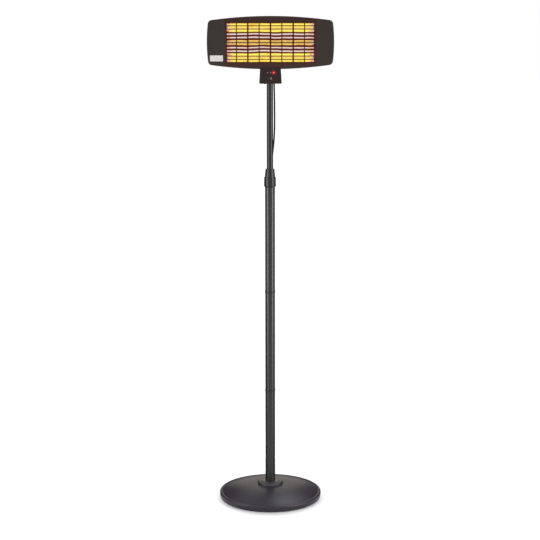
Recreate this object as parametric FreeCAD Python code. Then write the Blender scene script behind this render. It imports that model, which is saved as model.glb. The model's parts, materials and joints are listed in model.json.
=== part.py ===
import FreeCAD, Part
import math
import os

# A free-standing patio heater. A round weighted base carries a three-piece pole, a mast slides in the pole
# and is held by a twist lock, and a wide head with three glowing tubes tilts on top of the mast.
# Millimetres, +Z up, the floor at z = 0 under the middle of the base, and the front faces -Y.

V = FreeCAD.Vector
ORIGIN = V(0, 0, 0)
X_WAY = V(1, 0, 0)
Y_WAY = V(0, 1, 0)
Z_WAY = V(0, 0, 1)

# Fits and allowances
slip_gap = 0.3
running_gap = 0.05
seat_gap = 0.1
overrun = 5.0

# Base: a pressed cover over a cast weight and a bottom plate, on rubber feet
base_radius = 215.0
foot_height = 2.8
rim_height = 22.8
rim_round = 5.5
rim_step = 1.3
rim_step_height = 11.6
gutter_inset = 12.5
gutter_depth = 2.4
cover_sheet = 1.5
dome_rise = 29.8
dome_crown_slope = 0.5
plate_thickness = 1.5
weight_inset = 39.3
weight_thickness = 8.5
weight_hub_inset = 3.0
foot_radius = 11.0
foot_inset = 36.3
foot_stem_radius = 3.0
foot_count = 5

# The bolt that clamps the base together, and the socket that it pulls down
bolt_radius = 5.0
bolt_head_radius = 9.2
bolt_head_height = 6.4
washer_radius = 12.0
washer_thickness = 1.8
counterbore_room = 2.0
counterbore_depth = 9.0
socket_flange_reach = 26.7
socket_flange_thickness = 3.0
socket_web = 12.0
socket_wall = 3.0
spigot_length = 60.0
trim_skirt_width = 6.7
trim_edge_height = 5.3
trim_shoulder_width = 6.2
trim_shoulder_height = 10.4
trim_ledge_width = 1.6
trim_step_height = 10.7
trim_ring_wall = 17.9
trim_ring_height = 13.9
trim_ring_chamfer = 1.0

# Pole: three tubes with a raised joint ring between each two
pole_radius = 20.3
pole_wall = 1.2
lower_tube_length = 401.8
middle_tube_length = 412.5
top_tube_length = 466.1
joint_ring_standout = 1.0
joint_ring_height = 9.5
joint_ring_round = 1.2
joint_sleeve_reach = 28.0
joint_sleeve_wall = 2.5

# Twist lock on the pole's top end
collar_seat_depth = 32.8
collar_rise = 8.1
collar_wall = 4.1
collar_taper = 0.6
collar_chamfer = 4.0
thread_wall = 2.15
thread_length = 20.0
collet_wall = 2.0
collet_drop = 12.0
collet_slit = 2.0
nut_height = 33.4
nut_wall = 3.1
nut_lip_wall = 4.95
nut_skirt_height = 4.1
nut_lid = 4.0

# Mast
mast_radius = 13.0
mast_wall = 1.2
mast_reach = 375.7
guide_length = 33.0
guide_plug_length = 25.0
guide_below_collet = 4.0

# Tilt joint between the mast and the head
tilt_height_over_mast = 22.0
knuckle_plug_length = 40.0
knuckle_collar_standout = 1.5
knuckle_collar_height = 6.0
knuckle_half_width = 10.0
knuckle_wall = 8.0
bracket_sheet = 2.5
bracket_foot_low = 26.0
bracket_foot_high = 92.0
bracket_ear_depth = 10.0
tilt_bolt_radius = 4.0
tilt_bolt_head_standout = 3.0
tilt_bolt_head_height = 4.5
knob_radius = 14.0
knob_length = 17.0
knob_lobe_radius = 4.0
knob_lobe_count = 6
bracket_screw_radius = 2.4
bracket_screw_head_radius = 4.6
bracket_screw_head_height = 2.6
bracket_screw_low = 46.0
bracket_screw_high = 78.0
bracket_nut_radius = 4.6
bracket_nut_height = 4.0

# Head casing: a front bezel with a barrel outline and a rear housing that fits into its skirt
head_underside_height = 9.0
head_half_width = 252.4
head_half_height = 104.0
head_side_bow = 6.0
head_top_bow = 17.6
head_corner_radius = 17.0
head_front_reach = 112.0
head_back_reach = 20.0
bezel_depth = 40.0
bezel_wall = 2.5
bezel_edge_round = 4.0
housing_wall = 2.0
housing_overlap = 8.0
housing_edge_round = 12.0
window_side_border = 76.2
window_top_border = 25.6
window_corner_radius = 4.0
lip_depth = 17.0
lip_wall = 2.0
post_radius = 5.0
post_side_inset = 39.0
post_top_inset = 44.0
housing_screw_radius = 1.9
housing_screw_head_radius = 4.0
housing_screw_head_height = 2.4
housing_screw_length = 16.0
badge_width = 51.4
badge_height = 23.3
badge_thickness = 0.8
badge_side_inset = 38.0
badge_foot_inset = 42.6
lead_hole_half_width = 20.0
lead_hole_half_depth = 6.0

# Wire guard in the window
guard_wire_radius = 1.5
guard_wire_margin = 12.4
guard_wire_count = 11
guard_rib_margin = 41.3
guard_rib_count = 7
guard_rib_width = 4.0
guard_main_rib_width = 6.0
guard_rib_thickness = 1.6
guard_frame_bar = 3.0
guard_weld = 0.4
guard_recess = 6.7
guard_return = 7.0

# Heating tubes, their ceramic ends and the reflector behind them
heater_margin = 21.1
heater_count = 3
heater_depth = 30.0
glass_radius = 6.0
glass_wall = 1.2
glass_overhang = 6.3
coil_radius = 3.6
coil_setback = 14.7
coil_pin_radius = 1.0
ceramic_wall = 1.9
ceramic_inner_reach = 4.7
ceramic_outer_reach = 17.3
reflector_sheet = 0.8
reflector_inset = 1.8
trough_past_window = 1.9
trough_floor_half_width = 9.0
trough_depth = 16.0
trough_mouth_depth = 28.0
cheek_thickness = 1.2
cheek_back_margin = 3.0

# Control box under the head
box_height = 57.0
box_top_half_width = 41.0
box_flare = 3.2
box_corner_radius = 3.0
box_split_reach = 70.0
box_back_reach = 48.0
box_wall = 2.2
box_edge_round = 1.2
box_lip_height = 6.0
box_lip_thickness = 1.2
lamp_radius = 2.85
lamp_flange_radius = 3.6
lamp_flange_thickness = 1.0
lamp_standout = 0.8
lamp_length = 5.0
lamp_pitch = 12.3
lamp_below_top = 13.0
button_radius = 5.5
button_across = -8.5
button_below_top = 36.2
button_standout = 1.8
button_travel = 1.5
button_flange_radius = 7.0
button_flange_thickness = 1.2
button_stem_radius = 2.0
button_stem_length = 0.8
sensor_width = 6.0
sensor_height = 7.0
sensor_across = 2.0
sensor_below_top = 35.8
sensor_standout = 0.4
sensor_length = 3.0
board_side_inset = 9.0
board_margin = 6.0
board_thickness = 1.6
board_setback = 7.0
board_post_radius = 3.0
board_post_inset = 4.0
relay_width = 14.0
relay_height = 20.0
relay_depth = 13.0
relay_pitch = 18.0
terminal_width = 34.0
terminal_height = 14.0
terminal_depth = 13.0
terminal_below_top = 14.0
tip_switch_width = 16.0
tip_switch_height = 18.0
tip_switch_depth = 15.0
tip_switch_across = -20.0
tip_switch_over_floor = 2.0
box_screw_radius = 1.6
box_screw_head_radius = 3.2
box_screw_head_height = 1.8
box_screw_length = 8.0
box_screw_inset = 8.0
plug_button_radius = 4.0
plug_button_standout = 2.4
plug_button_flange = 1.0
plug_button_across = -22.0
plug_button_setback = 16.0
cutout_radius = 8.0
cutout_height = 6.0
cutout_across = 70.0
cutout_below_centre = 25.0
lead_radius = 1.2
lead_side_gap = 12.0
lead_first_depth = 38.0
lead_depth_step = 5.0
lead_lowest_inset = 26.0
lead_drop_step = 3.6
lead_first_across = 4.0
lead_across_step = 5.0

# Mains cord, its exit in the back of the control box, and what holds it
cord_radius = 3.3
cord_floor_gap = 0.2
gland_across = 18.6
gland_under_top = 41.0
gland_radius = 7.5
gland_length = 8.0
gland_shank_radius = 6.0
gland_lock_nut_height = 3.0
relief_root_radius = 5.2
relief_tip_radius = 3.9
relief_length = 30.0
relief_root_length = 4.0
clip_low_height = 155.0
clip_middle_height = 546.0
clip_high_height = 949.0
clip_length = 8.0
clip_room = 0.45
clip_wall = 1.8
clip_mouth = 4.6
clip_standoff = 4.8
clip_pad_half_width = 6.0
run_share = 0.45

# Hank of spare cord behind the base, the tie around it, and the plug beyond it
hank_loops = 3
hank_fold_radius = 19.8
hank_run = 60.0
hank_step = 3.6
hank_near_depth = 283.3
hank_first_across = -4.0
hank_top_dip = 14.0
hank_bottom_lift = 2.8
tie_width = 9.0
tie_thickness = 1.2
tie_gap = 0.5
tie_corner_radius = 4.0
plug_across = 12.4
plug_entry_depth = 427.0
plug_face_radius = 18.0
plug_body_length = 24.0
plug_taper_length = 16.0
plug_neck_radius = 8.0
plug_relief_radius = 5.0
plug_relief_length = 14.0
plug_pin_radius = 2.4
plug_pin_length = 19.0
plug_pin_half_pitch = 9.5

# The cord's route, chosen by hand: out of the gland and down behind the pole
cord_head_route = [
    (18.6, -10.0, 1765.0),
    (18.6, 14.0, 1765.0),
    (18.6, 34.0, 1756.0),
    (18.9, 47.0, 1738.0),
    (19.6, 51.5, 1712.0),
    (20.4, 51.0, 1677.0),
    (20.6, 47.5, 1633.5),
    (20.6, 45.25, 1604.5),
]
cord_mast_route = [
    (20.6, 45.25, 1604.5),
    (20.6, 43.0, 1575.5),
    (18.9, 39.6, 1527.0),
    (14.9, 37.2, 1484.5),
    (9.7, 35.8, 1444.0),
    (5.1, 34.9, 1397.0),
    (2.0, 34.5, 1332.0),
    (0.4, 33.2, 1252.0),
    (-0.5, 30.9, 1173.0),
    (-0.6, 28.5, 1095.0),
    (-0.2, 26.1, 1022.0),
    (-0.06, 25.4, 971.0),
]
cord_pole_route = [
    (-0.06, 25.4, 971.0),
    (0.0, 25.1, 949.0),
    (0.1, 28.3, 918.0),
    (0.4, 31.7, 885.0),
    (0.8, 32.1, 824.0),
    (0.8, 31.1, 739.0),
    (0.5, 28.9, 664.0),
    (0.2, 26.5, 601.0),
    (0.0, 25.1, 546.0),
    (-0.1, 28.3, 509.0),
    (-0.4, 31.3, 465.0),
    (-0.8, 31.9, 406.0),
    (-0.9, 31.1, 341.0),
    (-0.6, 29.1, 275.0),
    (-0.2, 26.7, 212.0),
    (0.0, 25.1, 155.0),
    (-0.1, 28.5, 118.0),
    (-0.4, 40.0, 88.5),
    (-0.9, 61.0, 71.4),
    (-1.4, 88.0, 62.0),
    (-2.0, 118.0, 56.6),
    (-2.7, 150.0, 49.2),
    (-3.3, 183.0, 40.6),
    (-3.8, 207.5, 37.2),
    (-3.9, 226.0, 30.9),
    (-4.0, 240.0, 16.0),
    (-4.0, 254.2, 6.6),
    (-4.0, 268.5, 3.5),
    (-4.0, 276.7, 3.5),
]
cord_tail_route = [
    (21.2, 349.9, 3.5),
    (21.2, 357.8, 3.5),
    (20.2, 372.5, 5.6),
    (17.2, 386.5, 10.8),
    (14.2, 400.5, 15.6),
    (12.7, 414.0, 17.8),
    (12.4, 427.0, 18.2),
]

# Sizes and places that follow from the ones above
cover_wall_radius = base_radius - rim_step
gutter_radius = base_radius - gutter_inset
weight_radius = base_radius - weight_inset
foot_circle_radius = base_radius - foot_inset
socket_flange_radius = pole_radius + socket_flange_reach
weight_hub_radius = socket_flange_radius - weight_hub_inset
trim_radius = socket_flange_radius + trim_skirt_width
dome_top_radius = trim_radius
trim_ring_radius = pole_radius + trim_ring_wall
trim_step_radius = trim_ring_radius + trim_ledge_width
trim_shoulder_radius = trim_radius - trim_shoulder_width
counterbore_radius = washer_radius + counterbore_room
joint_ring_radius = pole_radius + joint_ring_standout
collar_bottom_radius = pole_radius + collar_wall
collar_top_radius = collar_bottom_radius - collar_taper
collet_radius = mast_radius + running_gap + collet_wall
thread_radius = collet_radius + slip_gap + thread_wall
nut_bottom_radius = thread_radius + slip_gap + nut_wall
nut_top_radius = mast_radius + slip_gap + nut_lip_wall
knuckle_collar_radius = mast_radius + knuckle_collar_standout
knuckle_radius = tilt_bolt_radius + knuckle_wall
tilt_bolt_head_radius = tilt_bolt_radius + tilt_bolt_head_standout
window_half_width = head_half_width - window_side_border
window_half_height = head_half_height - window_top_border
post_across = head_half_width - post_side_inset
post_up = head_half_height - post_top_inset
badge_across = head_half_width - badge_side_inset
badge_below_centre = head_half_height - badge_foot_inset
guard_wire_pitch = 2 * (window_half_height - guard_wire_margin) / (guard_wire_count - 1)
guard_rib_pitch = 2 * (window_half_width - guard_rib_margin) / (guard_rib_count - 1)
heater_pitch = 2 * (window_half_height - heater_margin) / (heater_count - 1)
trough_half_width = heater_margin + trough_past_window
reflector_half_length = window_half_width - reflector_inset
glass_half_length = reflector_half_length + glass_overhang
coil_half_length = reflector_half_length - coil_setback
ceramic_inner_end = reflector_half_length - ceramic_inner_reach
ceramic_outer_end = reflector_half_length + ceramic_outer_reach
ceramic_radius = glass_radius + seat_gap + ceramic_wall
lead_first_drop = head_half_height - lead_lowest_inset
box_bottom_half_width = box_top_half_width + box_flare
board_half_width = box_top_half_width - board_side_inset
clip_cord_depth = pole_radius + clip_standoff
plug_entry_height = plug_face_radius + cord_floor_gap
rim_top = foot_height + rim_height
dome_top = rim_top + dome_rise
plate_bottom = foot_height
plate_top = plate_bottom + plate_thickness
weight_top = dome_top - cover_sheet
socket_face = dome_top + socket_flange_thickness
lower_tube_top = socket_face + lower_tube_length
middle_tube_bottom = lower_tube_top + joint_ring_height
middle_tube_top = middle_tube_bottom + middle_tube_length
top_tube_bottom = middle_tube_top + joint_ring_height
pole_top = top_tube_bottom + top_tube_length
collar_bottom = pole_top - collar_seat_depth
collar_top = pole_top + collar_rise
nut_bottom = collar_top + slip_gap
nut_top = nut_bottom + nut_height
collet_bottom = pole_top - collet_drop
collet_top = nut_top - nut_lid - slip_gap
mast_top = nut_top + mast_reach
guide_top = collet_bottom - guide_below_collet
guide_bottom = guide_top - guide_length
pole_bore = pole_radius - pole_wall
mast_bore = mast_radius - mast_wall
tilt_z = mast_top + tilt_height_over_mast
head_z = tilt_z + head_underside_height + head_half_height
head_front = -head_front_reach
head_back = -head_back_reach
bezel_back = head_front + bezel_depth
housing_inset = bezel_wall + slip_gap
lip_back = head_front + lip_depth
guard_wire_y = head_front + guard_recess + guard_wire_radius
guard_rib_y = guard_wire_y + guard_wire_radius - guard_weld
guard_frame_y = guard_wire_y + guard_return - guard_frame_bar / 2
heater_y = head_front + heater_depth
trough_mouth_y = head_front + trough_mouth_depth
box_top = head_z - head_half_height - slip_gap
box_floor = box_top - box_height
box_front = head_front - slip_gap - box_lip_thickness
box_split = -box_split_reach
box_back = -box_back_reach
panel_back = box_front + box_wall
board_front = panel_back + board_setback
gland_z = box_top - gland_under_top
cord_bottom_z = cord_radius + cord_floor_gap


def between(start, end, share):
    return start + (end - start) * share


def block(x0, x1, y0, y1, z0, z1):
    corner = V(min(x0, x1), min(y0, y1), min(z0, z1))
    return Part.makeBox(abs(x1 - x0), abs(y1 - y0), abs(z1 - z0), corner)


def rod(radius, start, end):
    """A round bar between two points."""
    way = end - start
    return Part.makeCylinder(radius, way.Length, start, way)


def cone(start_radius, end_radius, start, end):
    way = end - start
    return Part.makeCone(start_radius, end_radius, way.Length, start, way)


def pipe(outer_radius, inner_radius, start, end):
    """A straight tube between two points."""
    past = (end - start).normalize() * overrun
    return rod(outer_radius, start, end).cut(rod(inner_radius, start - past, end + past))


def turned(points):
    """A solid turned about the Z axis from an outline of (radius, height) corners."""
    corners = [V(r, 0, z) for r, z in points]
    face = Part.Face(Part.makePolygon(corners + corners[:1]))
    return face.revolve(ORIGIN, Z_WAY, 360)


def sheet_between(points, start, way):
    """A flat outline of corners, pushed along a way."""
    corners = [start + p for p in points]
    return Part.Face(Part.makePolygon(corners + corners[:1])).extrude(way)


def hexagon(radius, start, way):
    """A six-sided bar along X or Y, as wide across its corners as twice the radius."""
    side = Z_WAY
    across = way.cross(side).normalize()
    turns = [math.radians(60 * k) for k in range(6)]
    corners = [side * math.cos(t) * radius + across * math.sin(t) * radius for t in turns]
    return sheet_between(corners, start, way)


def joined(first, *others):
    return first.multiFuse(list(others)).removeSplitter()


def group(solids):
    """Separate solids of one node."""
    return Part.makeCompound(solids)


def edges_at_depth(shape, depth):
    """The edges that lie in the plane y = depth."""
    close = seat_gap / 100
    boxes = [(e, e.BoundBox) for e in shape.Edges]
    return [e for e, box in boxes if abs(box.YMin - depth) < close and abs(box.YMax - depth) < close]


def edges_along_y(shape):
    """The straight edges that run along Y."""
    close = seat_gap / 100
    return [
        e
        for e in shape.Edges
        if isinstance(e.Curve, Part.Line) and e.BoundBox.XLength < close and e.BoundBox.ZLength < close
    ]


def barrel(inset, y0, y1):
    """The head's outline, with bowed sides and round corners, pushed from y0 to y1."""
    half_width = head_half_width - inset
    half_height = head_half_height - inset
    corner_x = half_width - head_side_bow
    corner_z = half_height - head_top_bow
    at = V(0, y0, head_z)
    right_top = at + V(corner_x, 0, corner_z)
    right_bottom = at + V(corner_x, 0, -corner_z)
    left_bottom = at + V(-corner_x, 0, -corner_z)
    left_top = at + V(-corner_x, 0, corner_z)
    sides = [
        Part.Arc(left_top, at + V(0, 0, half_height), right_top),
        Part.Arc(right_top, at + V(half_width, 0, 0), right_bottom),
        Part.Arc(right_bottom, at + V(0, 0, -half_height), left_bottom),
        Part.Arc(left_bottom, at + V(-half_width, 0, 0), left_top),
    ]
    face = Part.Face(Part.Wire([side.toShape() for side in sides]))
    solid = face.extrude(V(0, y1 - y0, 0))
    return solid.makeFillet(head_corner_radius - inset, edges_along_y(solid))


def box_prism(inset, y0, y1):
    """The control box's outline, wider at its foot, pushed from y0 to y1."""
    top = box_top - inset
    floor = box_floor + inset
    corners = [
        V(-box_top_half_width + inset, 0, top),
        V(box_top_half_width - inset, 0, top),
        V(box_bottom_half_width - inset, 0, floor),
        V(-box_bottom_half_width + inset, 0, floor),
    ]
    solid = sheet_between(corners, V(0, y0, 0), V(0, y1 - y0, 0))
    low = [e for e in edges_along_y(solid) if e.BoundBox.ZMax < (top + floor) / 2]
    return solid.makeFillet(max(box_corner_radius - inset, seat_gap), low)


def round_path(points):
    """Straight runs joined by tangent arcs, each as large as its two runs allow: the wire and its radii."""
    corners = [V(*p) for p in points]
    edges = []
    radii = []
    at = corners[0]
    for before, corner, after in zip(corners, corners[1:], corners[2:]):
        back = before - corner
        onward = after - corner
        reach = run_share * min(back.Length, onward.Length)
        back.normalize()
        onward.normalize()
        half_turn = (math.pi - back.getAngle(onward)) / 2
        radius = reach / math.tan(half_turn)
        middle = corner + (back + onward).normalize() * (radius / math.cos(half_turn) - radius)
        start = corner + back * reach
        end = corner + onward * reach
        edges.append(Part.LineSegment(at, start).toShape())
        edges.append(Part.Arc(start, middle, end).toShape())
        radii.append(radius)
        at = end
    edges.append(Part.LineSegment(at, corners[-1]).toShape())
    return Part.Wire(edges), radii


def swept(path, radius, start, way):
    """A round tube along a smooth path."""
    ring = Part.Wire([Part.Circle(start, way, radius).toShape()])
    return path.makePipeShell([ring], True, False)


def cord_tube(name, points):
    """A stretch of cord. Prints its length, its least radius and how true its volume is."""
    path, radii = round_path(points)
    tube = swept(path, cord_radius, V(*points[0]), V(*points[1]) - V(*points[0]))
    true = tube.Volume / (math.pi * cord_radius**2 * path.Length)
    print(f"{name}: {path.Length:.1f} mm long, least radius {min(radii):.1f} mm, volume ratio {true:.5f}")
    return tube


def arc_from(start, way, end):
    """The arc, or straight line, that leaves start along way and ends at end."""
    chord = end - start
    along = V(chord).normalize()
    bulge = way - along * way.dot(along)
    if bulge.Length < seat_gap / 1000:
        return Part.LineSegment(start, end)
    angle = way.getAngle(chord)
    middle = (start + end) / 2 + bulge.normalize() * (chord.Length / 2 * math.tan(angle / 2))
    return Part.Arc(start, middle, end)


def biarc(start, start_way, end, end_way):
    """Two arcs that join smoothly, from one point and direction to another."""
    chord = end - start
    ways = start_way + end_way
    spread = 2 * (1 - start_way.dot(end_way))
    if spread < 1e-9:
        reach = chord.dot(chord) / (4 * chord.dot(end_way))
    else:
        pull = chord.dot(ways)
        reach = (math.sqrt(pull * pull + spread * chord.dot(chord)) - pull) / spread
    meeting = (start + start_way * reach + end - end_way * reach) / 2
    last = arc_from(end, end_way * -1, meeting)
    return [arc_from(start, start_way, meeting).toShape(), last.toShape()]


def tangent_arc(start, way, end):
    """The arc that leaves start along way and ends at end, and the way in which it arrives."""
    way = V(way).normalize()
    chord = end - start
    straight = V(chord).normalize()
    turn = way.getAngle(straight)
    middle_way = (way + straight).normalize()
    middle = start + middle_way * (chord.Length / 2 / math.cos(turn / 2))
    return Part.Arc(start, middle, end), straight * (2 * way.dot(straight)) - way


def base_cover():
    """A rolled rim over a short wall, a gutter inside it, and a dome of one curve."""
    slope = math.radians(dome_crown_slope)
    crown = V(dome_top_radius, 0, dome_top)
    gutter = V(gutter_radius, 0, rim_top - gutter_depth)
    crest = V(base_radius - rim_round, 0, rim_top)
    rim_side = V(base_radius, 0, rim_top - rim_round)
    roll_foot = V(base_radius, 0, foot_height + rim_step_height)
    wall_high = V(cover_wall_radius, 0, foot_height + rim_step_height - rim_step)
    wall_foot = V(cover_wall_radius, 0, foot_height)
    down = V(0, 0, -cover_sheet)
    inner_crest = crest + down
    inner_corner = V(cover_wall_radius - cover_sheet, 0, rim_top - rim_round)
    inner_foot = V(cover_wall_radius - cover_sheet, 0, foot_height)
    hole = bolt_radius + slip_gap
    away = V(math.cos(slope), 0, -math.sin(slope))
    dome, _ = tangent_arc(crown, away, gutter)
    inner_dome, _ = tangent_arc(crown + down, away, gutter + down)
    outer_roll, _ = tangent_arc(rim_side, V(0, 0, 1), crest)
    inner_roll, _ = tangent_arc(crest, V(-1, 0, 0), gutter)
    curves = [
        Part.LineSegment(wall_foot, wall_high),
        Part.LineSegment(wall_high, roll_foot),
        Part.LineSegment(roll_foot, rim_side),
        outer_roll,
        inner_roll,
        dome,
        Part.LineSegment(crown, V(hole, 0, dome_top)),
        Part.LineSegment(V(hole, 0, dome_top), V(hole, 0, weight_top)),
        Part.LineSegment(V(hole, 0, weight_top), crown + down),
        inner_dome,
        Part.LineSegment(gutter + down, inner_crest),
        Part.LineSegment(inner_crest, inner_corner),
        Part.LineSegment(inner_corner, inner_foot),
        Part.LineSegment(inner_foot, wall_foot),
    ]
    face = Part.Face(Part.Wire([curve.toShape() for curve in curves]))
    return face.revolve(ORIGIN, Z_WAY, 360)


def base_weight():
    hole = bolt_radius + slip_gap
    ceiling = plate_top + counterbore_depth
    return turned(
        [
            (counterbore_radius, plate_top),
            (weight_radius, plate_top),
            (weight_radius, plate_top + weight_thickness),
            (weight_hub_radius, plate_top + weight_thickness),
            (weight_hub_radius, weight_top),
            (hole, weight_top),
            (hole, ceiling),
            (counterbore_radius, ceiling),
        ]
    )


def foot_places():
    turns = [math.radians(90 + 360 * k / foot_count) for k in range(foot_count)]
    return [V(foot_circle_radius * math.cos(t), foot_circle_radius * math.sin(t), 0) for t in turns]


def base_plate():
    outer = cover_wall_radius - cover_sheet - slip_gap
    plate = pipe(outer, counterbore_radius, V(0, 0, plate_bottom), V(0, 0, plate_top))
    hole = foot_stem_radius + seat_gap
    holes = [rod(hole, at, at + Z_WAY * (plate_top + overrun)) for at in foot_places()]
    return plate.cut(group(holes))


def rubber_feet():
    feet = []
    for at in foot_places():
        pad = cone(foot_radius, foot_radius - foot_height / 2, at + Z_WAY * foot_height, at)
        stem = rod(foot_stem_radius, at + Z_WAY * foot_height, at + Z_WAY * plate_top)
        feet.append(joined(pad, stem))
    return group(feet)


def base_bolt():
    under_washer = plate_top + counterbore_depth - washer_thickness
    head_start = V(0, 0, under_washer - bolt_head_height)
    turns = [math.radians(60 * k) for k in range(6)]
    corners = [V(bolt_head_radius * math.cos(t), bolt_head_radius * math.sin(t), 0) for t in turns]
    head = sheet_between(corners, head_start, Z_WAY * bolt_head_height)
    shank = rod(bolt_radius, V(0, 0, under_washer), V(0, 0, dome_top + socket_web + bolt_radius))
    return joined(head, shank)


def base_washer():
    top = plate_top + counterbore_depth
    return pipe(washer_radius, bolt_radius + seat_gap, V(0, 0, top - washer_thickness), V(0, 0, top))


def pole_socket():
    spigot = pole_bore - seat_gap
    return turned(
        [
            (bolt_radius + running_gap, dome_top),
            (socket_flange_radius, dome_top),
            (socket_flange_radius, socket_face),
            (spigot, socket_face),
            (spigot, socket_face + spigot_length),
            (spigot - socket_wall, socket_face + spigot_length),
            (spigot - socket_wall, dome_top + socket_web),
            (bolt_radius + running_gap, dome_top + socket_web),
        ]
    )


def socket_trim():
    low = dome_top + seat_gap
    bore = pole_radius + seat_gap
    over_flange = socket_face + slip_gap
    return turned(
        [
            (socket_flange_radius + slip_gap, low),
            (trim_radius, low),
            (trim_radius, dome_top + trim_edge_height),
            (trim_shoulder_radius, dome_top + trim_shoulder_height),
            (trim_step_radius, dome_top + trim_step_height),
            (trim_ring_radius, between(dome_top + trim_step_height, dome_top + trim_ring_height, 0.3)),
            (trim_ring_radius, dome_top + trim_ring_height - trim_ring_chamfer),
            (trim_ring_radius - trim_ring_chamfer, dome_top + trim_ring_height),
            (bore, dome_top + trim_ring_height),
            (bore, over_flange),
            (socket_flange_radius + slip_gap, over_flange),
        ]
    )


def pole_tube(bottom, top):
    return pipe(pole_radius, pole_bore, V(0, 0, bottom), V(0, 0, top))


def tube_joint(bottom):
    """A sleeve inside two tubes, with the raised ring that shows between them."""
    top = bottom + joint_ring_height
    ring = rod(joint_ring_radius, V(0, 0, bottom), V(0, 0, top))
    ring = ring.makeFillet(joint_ring_round, [e for e in ring.Edges if isinstance(e.Curve, Part.Circle)])
    sleeve = pole_bore - seat_gap
    core = rod(sleeve, V(0, 0, bottom - joint_sleeve_reach), V(0, 0, top + joint_sleeve_reach))
    bore_past = joint_sleeve_reach + overrun
    bore = rod(sleeve - joint_sleeve_wall, V(0, 0, bottom - bore_past), V(0, 0, top + bore_past))
    return joined(ring, core).cut(bore)


def collar_socket():
    """The fixed half of the twist lock, seated over the pole's top end."""
    bore = pole_radius + seat_gap
    collet_bore = collet_radius + slip_gap
    thread_top = collar_top + thread_length
    return turned(
        [
            (bore, collar_bottom),
            (bore, pole_top + seat_gap),
            (collet_bore, pole_top + seat_gap),
            (collet_bore, thread_top),
            (thread_radius, thread_top),
            (thread_radius, collar_top),
            (collar_top_radius, collar_top),
            (collar_bottom_radius, collar_bottom + collar_chamfer),
            (bore + seat_gap, collar_bottom),
        ]
    )


def collet():
    """A split plastic sleeve that the lock nut closes on the mast."""
    inner = mast_radius + running_gap
    bottom = V(0, 0, collet_bottom)
    sleeve = pipe(collet_radius, inner, bottom, V(0, 0, collet_top))
    flange = pipe(pole_bore - slip_gap, inner, bottom, V(0, 0, pole_top - slip_gap))
    slit = block(-collet_slit / 2, collet_slit / 2, 0, pole_radius, pole_top + slip_gap, nut_top)
    return joined(sleeve, flange).cut(slit)


def lock_nut():
    hollow = thread_radius + slip_gap
    return turned(
        [
            (hollow, nut_bottom),
            (nut_bottom_radius, nut_bottom),
            (nut_bottom_radius, nut_bottom + nut_skirt_height),
            (nut_top_radius, nut_top),
            (mast_radius + slip_gap, nut_top),
            (mast_radius + slip_gap, nut_top - nut_lid),
            (collet_radius + slip_gap, nut_top - nut_lid),
            (hollow, collar_top + thread_length + slip_gap),
        ]
    )


def upper_tube():
    return pipe(mast_radius, mast_bore, V(0, 0, guide_bottom), V(0, 0, mast_top))


def mast_guide():
    """The bush on the mast's foot, which slides inside the pole and stops under the collet."""
    bush = rod(pole_bore - running_gap, V(0, 0, guide_bottom - cover_sheet), V(0, 0, guide_top))
    clear = rod(mast_radius + seat_gap, V(0, 0, guide_bottom), V(0, 0, guide_top + overrun))
    plug_top = V(0, 0, guide_bottom + guide_plug_length)
    plug = rod(mast_bore - seat_gap, V(0, 0, guide_bottom - cover_sheet), plug_top)
    return joined(bush.cut(clear), plug)


def tilt_knuckle():
    plug = rod(mast_bore - seat_gap, V(0, 0, mast_top - knuckle_plug_length), V(0, 0, mast_top))
    collar = rod(knuckle_collar_radius, V(0, 0, mast_top), V(0, 0, mast_top + knuckle_collar_height))
    half = knuckle_half_width
    neck = block(-half, half, -knuckle_radius, knuckle_radius, mast_top + knuckle_collar_height, tilt_z)
    round_end = rod(knuckle_radius, V(-half, 0, tilt_z), V(half, 0, tilt_z))
    hole = rod(tilt_bolt_radius + running_gap, V(-half - overrun, 0, tilt_z), V(half + overrun, 0, tilt_z))
    collar_part = joined(plug, collar)
    return joined(collar_part, neck, round_end).cut(hole)


def bracket_screw_heights():
    return [tilt_z + bracket_screw_low, tilt_z + bracket_screw_high]


def bracket_screw_holes():
    start = head_back - overrun
    end = head_back + overrun
    radius = bracket_screw_radius + seat_gap
    return [rod(radius, V(0, start, z), V(0, end, z)) for z in bracket_screw_heights()]


def tilt_bracket():
    """A bent steel fork, screwed to the back of the housing, that holds the knuckle between its ears."""
    inner = knuckle_half_width + slip_gap
    outer = inner + bracket_sheet
    reach = knuckle_radius
    low = tilt_z + bracket_foot_low
    high = tilt_z + bracket_foot_high
    ears = []
    for x in (-outer, inner):
        corners = [
            V(0, head_back, high),
            V(0, head_back, low),
            V(0, -reach, tilt_z),
            V(0, reach, tilt_z),
            V(0, head_back + bracket_ear_depth, high),
        ]
        plate = sheet_between(corners, V(x, 0, 0), V(bracket_sheet, 0, 0))
        end = rod(reach, V(x, 0, tilt_z), V(x + bracket_sheet, 0, tilt_z))
        ears.append(joined(plate, end))
    foot = block(-outer, outer, head_back, head_back + bracket_sheet, low, high)
    fork = joined(foot, *ears)
    hole = tilt_bolt_radius + seat_gap
    bolt_hole = rod(hole, V(-outer - overrun, 0, tilt_z), V(outer + overrun, 0, tilt_z))
    return fork.cut(group([bolt_hole, *bracket_screw_holes()]))


def tilt_bolt():
    outer = knuckle_half_width + slip_gap + bracket_sheet
    head = rod(tilt_bolt_head_radius, V(-outer - tilt_bolt_head_height, 0, tilt_z), V(-outer, 0, tilt_z))
    shank_end = outer + knob_length - tilt_bolt_radius
    return joined(head, rod(tilt_bolt_radius, V(-outer, 0, tilt_z), V(shank_end, 0, tilt_z)))


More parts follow.
